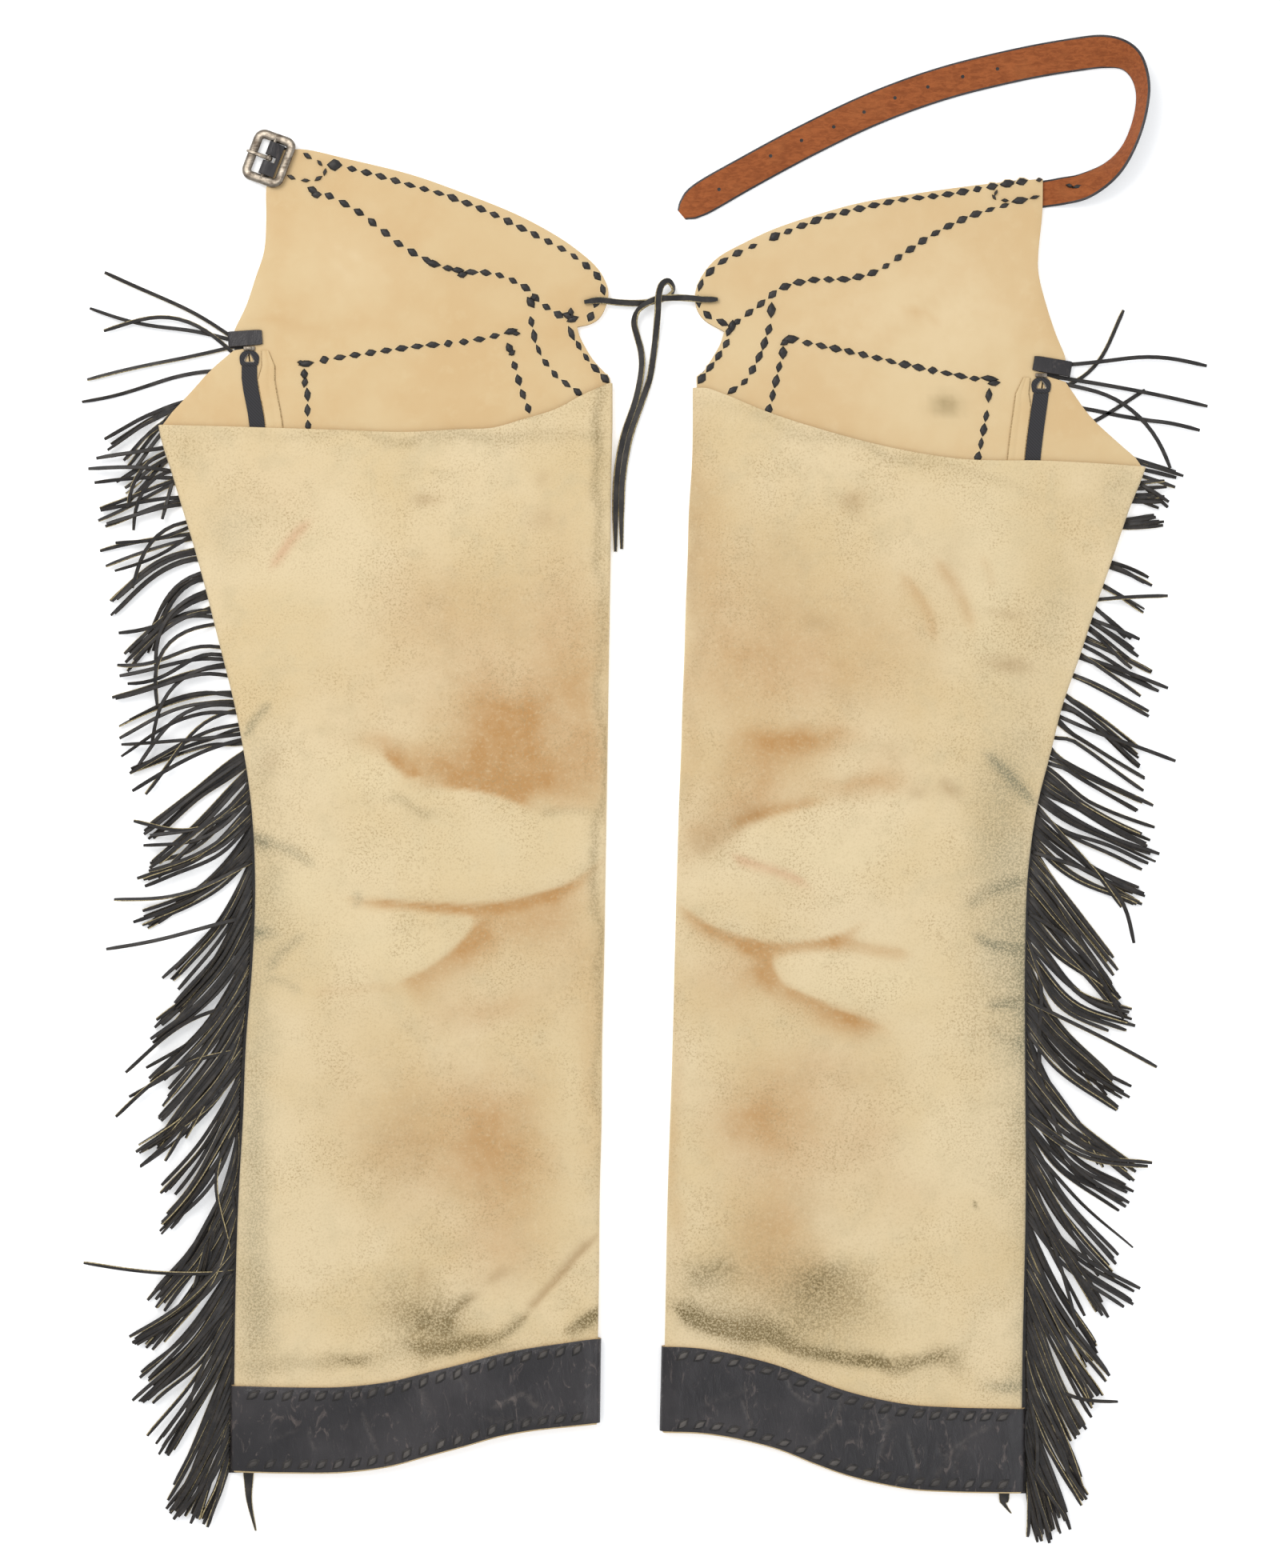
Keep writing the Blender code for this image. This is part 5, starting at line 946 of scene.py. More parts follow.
def tape_look():
    """Woven black tape with ribs across it."""
    look = Look("tape", roughness=0.75, Sheen_Weight=0.1)
    ribs = look.add("ShaderNodeTexWave", wave_type="BANDS", bands_direction="DIAGONAL")
    look.link(look.place, ribs.inputs["Vector"])
    ribs.inputs["Scale"].default_value = 260
    fuzz = look.noise(900, 2)
    weave = look.math("MULTIPLY", ribs.outputs["Fac"], look.span(fuzz, 0.2, 0.8, 0.7, 1))
    look.set("Base Color", look.mix(weave, shade(*BLACK_DEEP), shade(*TAPE_LIGHT)))
    look.set("Normal", look.bump(weave, 0.0003, 0.6))
    return look.material


def flesh_look():
    """The strap's flesh side: fibrous russet leather, darker in streaks."""
    look = Look("flesh_side", roughness=0.85, Specular_IOR_Level=0.25)
    fibres = look.noise(240, 5, 0.7, 0.6, look.stretch((0.6, 1.6, 1), -22))
    broad, fine = look.noise(35, 4), look.noise(1000, 3)
    colour = look.mix(look.span(fibres, 0.35, 0.66), shade(*FLESH_DEEP), shade(*FLESH_LIGHT))
    colour = look.mix(look.span(broad, 0.5, 0.75, 0, 0.3), colour, shade(*FLESH_PALE))
    colour = look.mix(look.span(fine, 0.55, 0.8, 0, 0.5), colour, shade(*FLESH_DEEP))
    look.set("Base Color", colour)
    look.set("Normal", look.bump(look.math("ADD", fibres, fine), 0.0004, 0.6))
    return look.material


def nickel_look():
    """Aged nickel: brushed, with a brown bloom in patches and brighter brushed streaks."""
    look = Look("nickel", roughness=0.4, metallic=1.0)
    bloom, fine = look.noise(170, 5, 0.6), look.noise(900, 3, 0.7)
    brushed = look.noise(420, 4, 0.6, 0.0, look.stretch((0.25, 2.2, 1), -21))
    colour = look.mix(look.span(bloom, 0.4, 0.7), shade(*NICKEL_LIGHT), shade(*NICKEL_DEEP))
    colour = look.mix(look.span(brushed, 0.45, 0.7, 0, 0.4), colour, shade(*NICKEL_BRIGHT))
    look.set("Base Color", colour)
    look.set("Roughness", look.span(bloom, 0.3, 0.7, 0.32, 0.5))
    look.set("Normal", look.bump(look.math("ADD", brushed, fine), 0.00008, 0.5))
    return look.material


SUEDE_LIGHT, SUEDE_DEEP, SUEDE_GREY = (229, 208, 168), (221, 197, 152), (207, 189, 150)
SUEDE_PALE, SUEDE_RUST, SUEDE_BROWN = (230, 210, 168), (192, 147, 94), (160, 126, 84)
SUEDE_RED, SUEDE_OLIVE, SUEDE_DIRT = (208, 158, 122), (116, 101, 66), (136, 131, 106)
SUEDE_SPECK = (172, 146, 104)
PANEL_LIGHT, PANEL_DEEP, PANEL_WEAR = (220, 193, 146), (214, 181, 131), (224, 199, 154)
PANEL_PALE, PANEL_RUST, PANEL_OLIVE = (230, 206, 164), (206, 168, 116), (150, 128, 84)
EDGE_LIGHT, EDGE_DEEP = (198, 170, 124), (150, 122, 82)
STRAND_EDGE_LIGHT, STRAND_EDGE_DEEP = (196, 180, 136), (122, 106, 74)
STRAND_SIDE_LIGHT, STRAND_SIDE_DEEP = (66, 58, 46), (36, 32, 28)
BLACK_DEEP, BLACK_LIGHT, BLACK_SCUFF = (34, 31, 33), (56, 52, 53), (112, 100, 94)
BLACK_RUBBED = (128, 118, 110)
# Painted highlight: the cuff loops' colours are lighter greys that stand for the glints on black thong.
LOOP_HIGHLIGHT_LIGHT, LOOP_HIGHLIGHT_DEEP, LOOP_HIGHLIGHT_PEAK = (90, 85, 81), (66, 62, 59), (120, 113, 106)
THONG_DEEP, THONG_LIGHT = (29, 26, 25), (52, 47, 43)
TAPE_LIGHT = (52, 52, 55)
FLESH_LIGHT, FLESH_DEEP, FLESH_PALE = (164, 92, 49), (136, 73, 37), (174, 106, 60)
NICKEL_LIGHT, NICKEL_DEEP, NICKEL_BRIGHT = (148, 138, 125), (94, 83, 72), (178, 170, 158)

SUEDE = suede_look()
PANEL = smooth_look("smooth_inside", PANEL_LIGHT, PANEL_DEEP, PANEL_WEAR)
EDGE = raw_edge_look("cut_edge", EDGE_LIGHT, EDGE_DEEP)
CUFF_LEATHER = black_leather_look("cuff_leather", 0.36, 0.5)
# Painted highlight: black thong loops drawn in lighter grey, with the lighter mottle as painted glints.
CUFF_LOOP_HIGHLIGHT = smooth_look("cuff_loop_painted_highlight", LOOP_HIGHLIGHT_LIGHT, LOOP_HIGHLIGHT_DEEP, LOOP_HIGHLIGHT_PEAK)
TAB_LEATHER = black_leather_look("tab_leather", 0.42, 0.3)
THONG = thong_look()
STRAND_EDGE = raw_edge_look("strand_edge", STRAND_EDGE_LIGHT, STRAND_EDGE_DEEP)
STRAND_SIDE = raw_edge_look("strand_side", STRAND_SIDE_LIGHT, STRAND_SIDE_DEEP)
TAPE = tape_look()
FLESH = flesh_look()
NICKEL = nickel_look()


# ---------------------------------------------------------------- legs
def stains(kind, patches, creases, x, y):
    """How strongly one kind of stain lies on each place; for the olive kind this also holds painted shade along the
    left leg's inner fold.
    """
    bend_x, bend_y = cloud(x, y, 38, 3) - 0.5, cloud(x, y, 38, 13) - 0.5
    clump, fleck = 0.75 + 0.5 * cloud(x, y, 26, 5), 0.75 + 0.5 * cloud(x, y, 20, 9)
    total = np.zeros(len(x))
    for p in patches:
        if p.kind == kind:
            turn = math.radians(p.turn)
            dx, dy = x + PATCH_BEND * bend_x - p.x, y + PATCH_BEND * bend_y - p.y
            u = (dx * math.cos(turn) + dy * math.sin(turn)) / p.wide
            v = (dy * math.cos(turn) - dx * math.sin(turn)) / p.tall
            total += p.amount * np.exp(-(u * u + v * v)) * clump
    for crease in creases:
        if crease.kind == kind:
            total += crease.amount * creased(crease, x + CREASE_BEND * bend_x, y + CREASE_BEND * bend_y) * fleck
    return np.clip(total, 0, 1)


def paint(obj, kinds, groups, lenses=()):
    """Writes the stains on a mesh's points, one layer for each kind; the olive layer also carries painted shade along
    the left leg's inner fold.

    Each group has its patches, its creases and a function that says how much of them each point takes.
    """
    mesh = obj.data
    flat = np.zeros(len(mesh.vertices) * 3)
    mesh.vertices.foreach_get("co", flat)
    x, y, z = (flat.reshape(-1, 3) / MM).T
    clear = np.ones(len(x))
    for lens in lenses:
        clear *= 1 - lens.hides * ease(within(lens, x, y), -0.5 * lens.soft, lens.soft)
    for kind in kinds:
        layer = sum(stains(kind, patches, creases, x, y) * keep(x, y, z) for patches, creases, keep in groups)
        if kind in ("rust", "brown"):
            layer = layer * clear
        made = mesh.attributes.new(kind, "FLOAT", "POINT")
        made.data.foreach_set("value", layer)


def worn_height(x, y):
    """The height that wear has given a place on a leg's back."""
    best = np.zeros(np.shape(x))
    for r in RIDGES:
        a, d = np.array((r.x1, r.y1)), np.array((r.x2 - r.x1, r.y2 - r.y1))
        t = np.clip(((x - a[0]) * d[0] + (y - a[1]) * d[1]) / (d @ d), 0, 1)
        away = np.hypot(x - a[0] - t * d[0], y - a[1] - t * d[1])
        best = np.maximum(best, r.height * np.exp(-((away / r.width) ** 2)))
    for lens in LENSES:
        best = best + lens.rise * ease(within(lens, x, y), 0, LENS_SLOPE)
    for crease in CREASES:
        if crease.depth:
            best = best - crease.depth * creased(crease, x, y)
    return best + 0.9 * (cloud(x, y, 70, 21, 3) - 0.5)


FAR = 1e6
CREASE_START, CREASE_END = 0.16, 0.8
PATCH_BEND, CREASE_BEND = 22, 3.5
LENS_SLOPE = 12
STAIN_AND_SHADE_KINDS = ("rust", "brown", "pale", "olive", "dirt", "red")


def leg_parts(side, downs, counts, out=0.0, start=SLIT):
    """Rows of points for the front, inner fold, back, outer fold and wrapped part of a leg."""
    s = SIGN[side]
    radius = LEATHER / 2 + FOLD_RADIUS
    front_n, back_n, wrap_n, fold_n = counts

    def inner_x(y):
        return edge(side, y, "inner") + s * radius

    def outer_x(y):
        return edge(side, y, "outer") - s * radius

    def zip_x(y):
        return edge(side, y, "zip")

    d = downs[:, None]
    t = np.linspace(0, 1, front_n)[None, :]
    fx, fy = level_spot(side, d + 0 * t, lambda y: (zip_x(y) - s * start) * (1 - t) + inner_x(y) * t)
    fz = front_height(side, d + 0 * t, fx, fy)
    t = np.linspace(0, 1, back_n)[None, :]
    bx, by = level_spot(side, d + 0 * t, lambda y: inner_x(y) * (1 - t) + outer_x(y) * t)
    past = s * (bx - zip_x(by)) > 0
    bz = np.where(past, FRONT_LOW + FRONT_RISE, front_height(side, d + 0 * t, bx, by)) + 2 * FOLD_RADIUS
    t = np.linspace(0, 1, wrap_n)[None, :]
    wx, wy = level_spot(side, d + 0 * t, lambda y: outer_x(y) * (1 - t) + (zip_x(y) + s * SLIT) * t)
    wz = np.full(wx.shape, FRONT_LOW + FRONT_RISE)
    folds = []
    for name in ("inner", "outer"):
        toward = s if name == "outer" else -s
        base_x, base_y = level_spot(side, downs, outer_x if name == "outer" else inner_x)
        low = np.full(len(downs), FRONT_LOW + FRONT_RISE) if name == "outer" else fz[:, -1]
        angles = np.radians(np.linspace(-90, 90, fold_n + 2)[1:-1])[None, :]
        px = base_x[:, None] + toward * (FOLD_RADIUS + out) * np.cos(angles)
        pz = low[:, None] + FOLD_RADIUS + (FOLD_RADIUS + out) * np.sin(angles)
        folds.append(np.dstack([px, base_y[:, None] + 0 * px, pz]))
    return (np.dstack([fx, fy, fz - out]), folds[0], np.dstack([bx, by, bz + out]), folds[1][:, ::-1],
            np.dstack([wx, wy, wz - out]))


def fill_panel(bm, base, outline):
    """A flat panel between a row of the leg's points and an outline, in small faces with soft waves."""
    height = FRONT_LOW + FRONT_RISE
    corners = [Vector(v.co[:2]) for v in base] + [Vector(p) for p in outline]
    low, high = np.min(corners, axis=0), np.max(corners, axis=0)
    gx, gy = np.meshgrid(np.arange(low[0], high[0], PANEL_STEP), np.arange(low[1], high[1], PANEL_STEP))
    gx, gy = gx.ravel() + PANEL_STEP / 2, gy.ravel() + PANEL_STEP / 2
    rim = Lens(2 * PANEL_STEP, 0, 0, [tuple(c) for c in corners])
    depth = within(rim, gx, gy)
    inner = [Vector((x, y)) for x, y, d in zip(gx, gy, depth) if d > PANEL_MARGIN]
    edges = [(i, (i + 1) % len(corners)) for i in range(len(corners))]
    places, _, faces, origins, _, _ = delaunay_2d_cdt(corners + inner, edges, [], 1, 1e-4)
    x, y = np.array(places).T
    waves = PANEL_WAVE * ease(within(rim, x, y), 0, 4 * PANEL_STEP) * (cloud(x, y, 85, 51, 2) - 0.5)
    verts = []
    for place, origin, wave in zip(places, origins, waves):
        first = origin[0] if origin else len(corners)
        verts.append(base[first] if first < len(base) else bm.verts.new((*place, height + wave)))
    for face in faces:
        bm.faces.new([verts[i] for i in face])


def make_leg(side):
    """A leg as one thin wall, with the front above the back's top edge."""
    s = SIGN[side]
    downs = np.linspace(0, 1, LEG_ROWS)
    front, inner_fold, back, outer_fold, wrap = leg_parts(side, downs, (26, LEG_COLUMNS, 7, 6))
    fade = (1 - ease(downs, 0.86, 0.9))[:, None] * ease(downs, 0, 0.02)[:, None]
    span = np.linspace(0, 1, LEG_COLUMNS)[None, :]
    ends = ease(span, 0, 0.05) * (1 - ease(span, 0.95, 1))
    back[:, :, 2] += fade * ends * worn_height(back[:, :, 0], back[:, :, 1])
    rows = np.concatenate([front, inner_fold, back, outer_fold, wrap], axis=1)
    bm = bmesh.new()
    verts = grid(bm, rows)
    lines = OUTLINES[side]
    slit_x, slit_y = lines["slit"][0]
    outline = [(slit_x - s * SLIT, slit_y)]
    for run in ("outer", "top", "notch"):
        outline += [tuple(p) for p in smooth(lines[run], 5)][: -1 if run != "notch" else None]
    fill_panel(bm, verts[0][: front.shape[1]][::-1], outline)
    flap = [(slit_x + s * SLIT, slit_y)] + [tuple(p) for p in smooth(lines["wrap"], 3)]
    fill_panel(bm, verts[0][-wrap.shape[1]:], flap)
    bmesh.ops.recalc_face_normals(bm, faces=bm.faces)
    bm.normal_update()
    bm.faces.ensure_lookup_table()
    middle = bm.faces[(LEG_ROWS // 2) * (rows.shape[1] - 1) + front.shape[1] + LEG_COLUMNS // 2]
    if middle.normal.z < 0:
        bmesh.ops.reverse_faces(bm, faces=bm.faces)
    leg = thicken(from_bmesh(f"leather_{side}", bm, SUEDE, PANEL, EDGE), LEATHER, inside=1, rim=2)
    paint(leg, STAIN_AND_SHADE_KINDS, ((STAINS_AND_FOLD_SHADE, CREASES, on_back), (PANEL_MARKS, SCRATCHES, on_panel)), LENSES)
    return leg


def on_back(x, y, z):
    return np.where(z > BACK_ABOVE, 1.0, FRONT_TAKES)


def on_panel(x, y, z):
    return np.where((z > PANEL_ABOVE) & (z < BACK_ABOVE) & (y > PANEL_FROM), 1.0, 0.0)


def everywhere(x, y, z):
    return 1.0


LEG_ROWS, LEG_COLUMNS, PANEL_STEP = 250, 112, 7
PANEL_WAVE, PANEL_MARGIN = 0.7, 3.0
BACK_ABOVE, PANEL_ABOVE, PANEL_FROM, FRONT_TAKES = 4.8, 4.0, 200, 0.2


def make_cuff(side):
    """The black band round the hem, with soft wrinkles and rounded edges."""
    s = SIGN[side]
    downs = np.linspace(CUFF_FROM, CUFF_TO, CUFF_ROWS)
    counts = (26, CUFF_COLUMNS, 3, 8)
    front, inner_fold, back, outer_fold, _ = leg_parts(side, downs, counts, CUFF_OUT, STRIP_INWARD + 1)
    span = np.linspace(0, 1, CUFF_COLUMNS)[None, :]
    down = np.linspace(0, 1, CUFF_ROWS)[:, None]
    fade = ease(span, 0, 0.03) * (1 - ease(span, 0.97, 1)) * ease(down, 0, 0.1) * (1 - 0.8 * ease(down, 0.92, 1))
    x, y = back[:, :, 0], back[:, :, 1]
    rise = CUFF_SWELL + CUFF_WAVE * (cloud(x + 0.4 * y, 0.5 * y, 18, 31, 3) - 0.5)
    for wrinkle in WRINKLES:
        rise = rise - wrinkle.depth * creased(wrinkle, x, y)
    back[:, :, 2] += fade * rise
    foot = outer_fold[:, -1:].copy()
    foot[:, :, 0] += s * 0.3
    foot[:, :, 2] = 3.7
    outer_fold = np.concatenate([outer_fold[:, :-3], foot], axis=1)
    bm = bmesh.new()
    grid(bm, np.concatenate([front, inner_fold, back, outer_fold], axis=1))
    bmesh.ops.recalc_face_normals(bm, faces=bm.faces)
    bm.normal_update()
    bm.faces.ensure_lookup_table()
    if bm.faces[26 + 3 + CUFF_COLUMNS // 2].normal.z < 0:
        bmesh.ops.reverse_faces(bm, faces=bm.faces)
    cuff = thicken(from_bmesh(f"cuff_leather_{side}", bm, CUFF_LEATHER, EDGE, EDGE), LEATHER, inside=1, rim=1)
    paint(cuff, ("scuff",), (((), WRINKLES, everywhere),))
    return cuff


CUFF_ROWS, CUFF_COLUMNS = 44, 200
CUFF_SWELL, CUFF_WAVE = 1.3, 0.9


def flat_piece(name, runs, low, thickness, *materials, steps=4, bevel=0.35):
    """A flat piece with a curved outline."""
    bm = bmesh.new()
    outline = [p for run in runs for p in smooth(run, steps)[:-1]]
    face = bm.faces.new([bm.verts.new((x, y, low + thickness / 2)) for x, y in outline])
    bmesh.ops.triangulate(bm, faces=[face])
    bmesh.ops.recalc_face_normals(bm, faces=bm.faces)
    bm.normal_update()
    bm.faces.ensure_lookup_table()
    if bm.faces[0].normal.z > 0:
        bmesh.ops.reverse_faces(bm, faces=bm.faces)
    obj = thicken(from_bmesh(name, bm, *materials), thickness, inside=1, rim=2, bevel=bevel)
    return obj


# ---------------------------------------------------------------- lacing
def lozenge(bm, x, y, z, turn, long, wide, tall, material=0):
    """One stitch of flat thong that dives into its holes, as a pointed pillow."""
    c, s = math.cos(math.radians(turn)), math.sin(math.radians(turn))
    outline = ((0.54, 0.12), (0.2, 0.43), (-0.13, 0.5), (-0.37, 0.17), (-0.54, -0.12), (-0.2, -0.43), (0.13, -0.5), (0.37, -0.17))

    def spot(u, v, up):
        u, v = u * long, v * wide
        return x + u * c - v * s, y + u * s + v * c, z + up

    foot = [bm.verts.new(spot(u, v, -0.1 * tall)) for u, v in outline]
    rim = [bm.verts.new(spot(0.96 * u, 0.96 * v, 0.45 * tall)) for u, v in outline]
    top = [bm.verts.new(spot(0.62 * u, 0.6 * v, tall)) for u, v in outline]
    for a, b in ((foot, rim), (rim, top)):
        for i in range(len(outline)):
            j = (i + 1) % len(outline)
            bm.faces.new((a[i], a[j], b[j], b[i])).material_index = material
    bm.faces.new(top).material_index = material
    bm.faces.new(foot[::-1]).material_index = material


def seam_places(seam):
    """The middle and direction of each stitch along a seam."""
    line = smooth(seam.points, 8)
    walked = np.concatenate([[0], np.cumsum(np.linalg.norm(np.diff(line, axis=0), axis=1))])
    at = np.linspace(0, walked[-1], seam.stitches)
    x, y = np.interp(at, walked, line[:, 0]), np.interp(at, walked, line[:, 1])
    step = 0.5
    ahead_x = np.interp(at + step, walked, line[:, 0]) - np.interp(at - step, walked, line[:, 0])
    ahead_y = np.interp(at + step, walked, line[:, 1]) - np.interp(at - step, walked, line[:, 1])
    return zip(x, y, np.degrees(np.arctan2(ahead_y, ahead_x)))


def make_lacing(side):
    """The black stitches on the inside of a front, each with a raised pale lip round its holes."""
    chance = np.random.default_rng(11 + SIGN[side])
    black, lips = bmesh.new(), bmesh.new()
    long, wide, tall = STITCH
    for seam in SEAMS:
        if (seam.points[0][0] < 0) != (side == "left"):
            continue
        for x, y, turn in seam_places(seam):
            size = 1 + STITCH_SPREAD * chance.normal(size=3)
            turn += chance.normal() * STITCH_TURN / 2 - 7
            lozenge(black, x, y, INSIDE_TOP, turn, long * size[0], wide * size[1], tall * size[2])
            lozenge(lips, x, y, INSIDE_TOP, turn, LIP * long * size[0], LIP * wide * size[1], 0.3)
    for k in KNOTS:
        if (k.x < 0) == (side == "left"):
            z = INSIDE_TOP if k.x < 320 else 4.2
            lozenge(black, k.x, k.y, z, k.turn, k.long, k.wide, 1.5 * tall)
            if k.x < 320:
                lozenge(lips, k.x, k.y, z, k.turn, 1.12 * k.long, 1.15 * k.wide, 0.3)
    pieces = []
    for name, bm, look in ((f"lacing_{side}", black, THONG), (f"lacing_lips_{side}", lips, LIP_LOOK)):
        pieces.append(settle(from_bmesh(name, bm, look), 50))
    return pieces


def make_outside_lacing(side):
    """The same stitches where they show on the outside of a front, under the yoke, guard and patch."""
    bm = bmesh.new()
    long, wide, tall = STITCH
    for seam in SEAMS:
        if (seam.points[0][0] < 0) == (side == "left"):
            places = list(seam_places(seam))
            for (x, y, turn), (x2, y2, _) in zip(places, places[1:]):
                lozenge(bm, (x + x2) / 2, (y + y2) / 2, 0.42, turn, long, wide, 0.5)
    return settle(from_bmesh(f"outside_lacing_{side}", bm, THONG), 50)


def make_cuff_lacing(side, cuff):
    """The loops along both edges of a cuff, black on black, on its back and its front; the loops are coloured lighter
    grey as a painted highlight on the black thong.
    """
    tree = BVHTree.FromObject(cuff, bpy.context.evaluated_depsgraph_get())
    chance = np.random.default_rng(31 + SIGN[side])
    bm = bmesh.new()
    s = SIGN[side]
    for down in (CUFF_FROM + 0.0078, CUFF_TO - 0.0078):
        for upper in (True, False):
            share = np.linspace(0.035, 0.965, CUFF_LOOPS)
            start = edge(side, 0 * share - 480, "inner") + s * 6
            end = edge(side, 0 * share - 480, "outer") - s * 6
            x, y = level_spot(side, down + 0 * share, lambda y: start + (end - start) * share)
            turn = np.degrees(np.arctan2(np.gradient(y), np.gradient(x)))
            for px, py, angle in zip(x, y, turn):
                if upper:
                    height = tree.ray_cast(Vector((px, py, CUFF_TALL)) * MM, Vector((0, 0, -1)))[0].z / MM
                    tall, lean = 1.5, 30
                else:
                    height, tall, lean = 0.35, 0.4, 20
                    if s * (edge(side, py, "zip") - px) < STRIP_INWARD + 8:
                        continue
                tilt = angle + lean + chance.normal() * 5
                # Painted highlight: each loop is drawn in the lighter grey loop material.
                lozenge(bm, px, py, height, tilt, 8.6, 4, tall)
                if upper:
                    lozenge(bm, px, py, height, tilt, 12, 6.8, 0.5, 1)
    return settle(from_bmesh(f"cuff_lacing_{side}", bm, CUFF_LOOP_HIGHLIGHT, THONG), 50)


CUFF_LOOPS = 20
CUFF_TALL = 40


# ---------------------------------------------------------------- zips
def zip_end_top(side):
    inner, outer = (np.array(p) for p in TAB_ENDS[side])
    along = (outer - inner) / np.linalg.norm(outer - inner)
    x = float(edge(side, ZIP_TOP[side], "zip"))
    tab_y = inner[1] + along[1] / along[0] * (x - inner[0])
    return x, tab_y - TAB_WIDTH / 2 - abs(along[1]) * SLIDER_SIZE[0] / 2 - 0.3 - SLIDER_SIZE[1] - 0.3


def make_band(name, centres, sides, widths, thickness, materials, edge_in=0.3):
    bm = bmesh.new()
    tube(bm, band_rings(centres, sides, widths, thickness, edge_in), BAND_SIDES)
    bmesh.ops.recalc_face_normals(bm, faces=bm.faces)
    return settle(from_bmesh(name, bm, *materials), 40)


def make_tape(side):
    y = np.linspace(ZIP_TOP[side], STRIP_BOTTOM[side] + TAPE_ABOVE_HEM, 90)
    path = np.column_stack([edge(side, y, "zip"), y, 0 * y + ON_TOP + TAPE_THICK / 2])
    return make_band(f"tape_{side}", path, [(1, 0, 0)] * len(y), [TAPE_WIDTH] * len(y), TAPE_THICK,
                     (TAPE, TAPE, TAPE), 0.2)


def make_teeth(side):
    """The zip's teeth, in the slit under the tape."""
    bm = bmesh.new()
    for i, y in enumerate(np.arange(STRIP_BOTTOM[side] + 16, ZIP_TOP[side] - 6, 1.5)):
        x = float(edge(side, y, "zip")) + (0.1 if i % 2 else -0.1)
        low, high = INSIDE_TOP - 1.4, ON_TOP - 0.02
        corners = [bm.verts.new((x + a * 0.38, y + b * 0.5, z)) for z in (low, high)
                   for a, b in ((-1, -0.6), (1, -0.6), (1, 0.6), (-1, 0.6))]
        for quad in ((3, 2, 1, 0), (4, 5, 6, 7), (0, 1, 5, 4), (1, 2, 6, 5), (2, 3, 7, 6), (3, 0, 4, 7)):
            bm.faces.new([corners[k] for k in quad])
    return settle(from_bmesh(f"zip_teeth_{side}", bm, NICKEL))


def make_facing(side):
    """The leather facing beside the tape, with a fold pressed in along it."""
    s = SIGN[side]
    heights = [zip_end_top(side)[1], *np.linspace(ZIP_TOP[side], STRIP_BOTTOM[side] + FACING_ABOVE_HEM, 80)]
    bm = bmesh.new()
    rings = []
    for i, y in enumerate(heights):
        near = LOOP_SIZE[0] / 2 + LOOP_ROOM if i < 2 else TAPE_WIDTH / 2
        far = FACING_TOP if i == 0 else FACING_EDGE
        zip_x = float(edge(side, y, "zip"))
        low, high = ON_TOP, ON_TOP + FACING_THICK
        wide = far - near - 0.3
        stations = ((0, -0.35), (0.06, 0), (0.52, 0), (0.58, -0.3), (0.64, 0.03), (0.94, 0), (1, -0.35))
        top = [(zip_x - s * (near + 0.3 + wide * t), y, high + dip) for t, dip in stations]
        base = [(zip_x - s * (near + 0.3 + wide * t), y, low) for t in (1, 0)]
        rings.append(top + base)
    tube(bm, rings, (1, 0, 0, 0, 0, 1, 1, 0, 1))
    bmesh.ops.recalc_face_normals(bm, faces=bm.faces)
    return settle(from_bmesh(f"facing_{side}", bm, PANEL, EDGE), 60)


def make_tab(side):
    inner, outer = (np.array(p) for p in TAB_ENDS[side])
    along = (outer - inner) / np.linalg.norm(outer - inner)
    lift = ON_TOP + TAB_THICK / 2
    path = [(*(inner + (outer - inner) * t), lift + 0.15 * math.sin(5 * t)) for t in np.linspace(0, 1, 12)]
    path += [(*(outer + reach * along), lift - drop) for reach, drop in TAB_BENDS]
    across = (-along[1], along[0], 0)
    widths = [TAB_WIDTH - 1.2, TAB_WIDTH - 0.3] + [TAB_WIDTH] * (len(path) - 2)
    return make_band(f"tab_{side}", path, [across] * len(path), widths, TAB_THICK,
                     (TAB_LEATHER, TAB_LEATHER, TAB_LEATHER), 0.4)


def make_zip_end(side):
    """The rounded end of the tapes round a triangular gap, edged with the zip's fine teeth."""
    x, top = zip_end_top(side)
    half, tall = LOOP_SIZE[0] / 2, LOOP_SIZE[1]
    outer = smooth([(x, top), (x + 4, top - 0.3), (x + half - 0.5, top - 0.28 * tall), (x + half, top - 0.6 * tall),
                    (x + half - 1.5, top - tall), (x, top - tall - 0.2), (x - half + 1.5, top - tall),
                    (x - half, top - 0.6 * tall), (x - half + 0.5, top - 0.28 * tall), (x - 4, top - 0.3), (x, top)], 4)
    gap = smooth([(x, top - 2), (x + 1.9, top - 5), (x + 3.2, top - 8), (x, top - 8.5), (x - 3.2, top - 8),
                  (x - 1.9, top - 5), (x, top - 2)], 7)
    count = 40
    outer = [outer[int(i)] for i in np.linspace(0, len(outer) - 1, count + 1)[:-1]]
    gap = [gap[int(i)] for i in np.linspace(0, len(gap) - 1, count + 1)[:-1]]
    bm = bmesh.new()
    low, high = ON_TOP, ON_TOP + LOOP_THICK
    rings = []
    for (ox, oy), (gx, gy) in zip(outer, gap):
        mx, my = (ox + gx) / 2, (oy + gy) / 2
        rings.append([(ox, oy, low), (ox, oy, high - 0.4), (ox + (mx - ox) * 0.3, oy + (my - oy) * 0.3, high),
                      (gx + (mx - gx) * 0.3, gy + (my - gy) * 0.3, high), (gx, gy, high - 0.4), (gx, gy, low)])
    verts = [[bm.verts.new(p) for p in ring] for ring in rings]
    for a, b in zip(verts, verts[1:] + verts[:1]):
        for i in range(6):
            j = (i + 1) % 6
            bm.faces.new((a[i], a[j], b[j], b[i])).material_index = 1 if i == 3 else 0
    bmesh.ops.recalc_face_normals(bm, faces=bm.faces)
    return settle(from_bmesh(f"tape_end_{side}", bm, TAPE, NICKEL), 40)


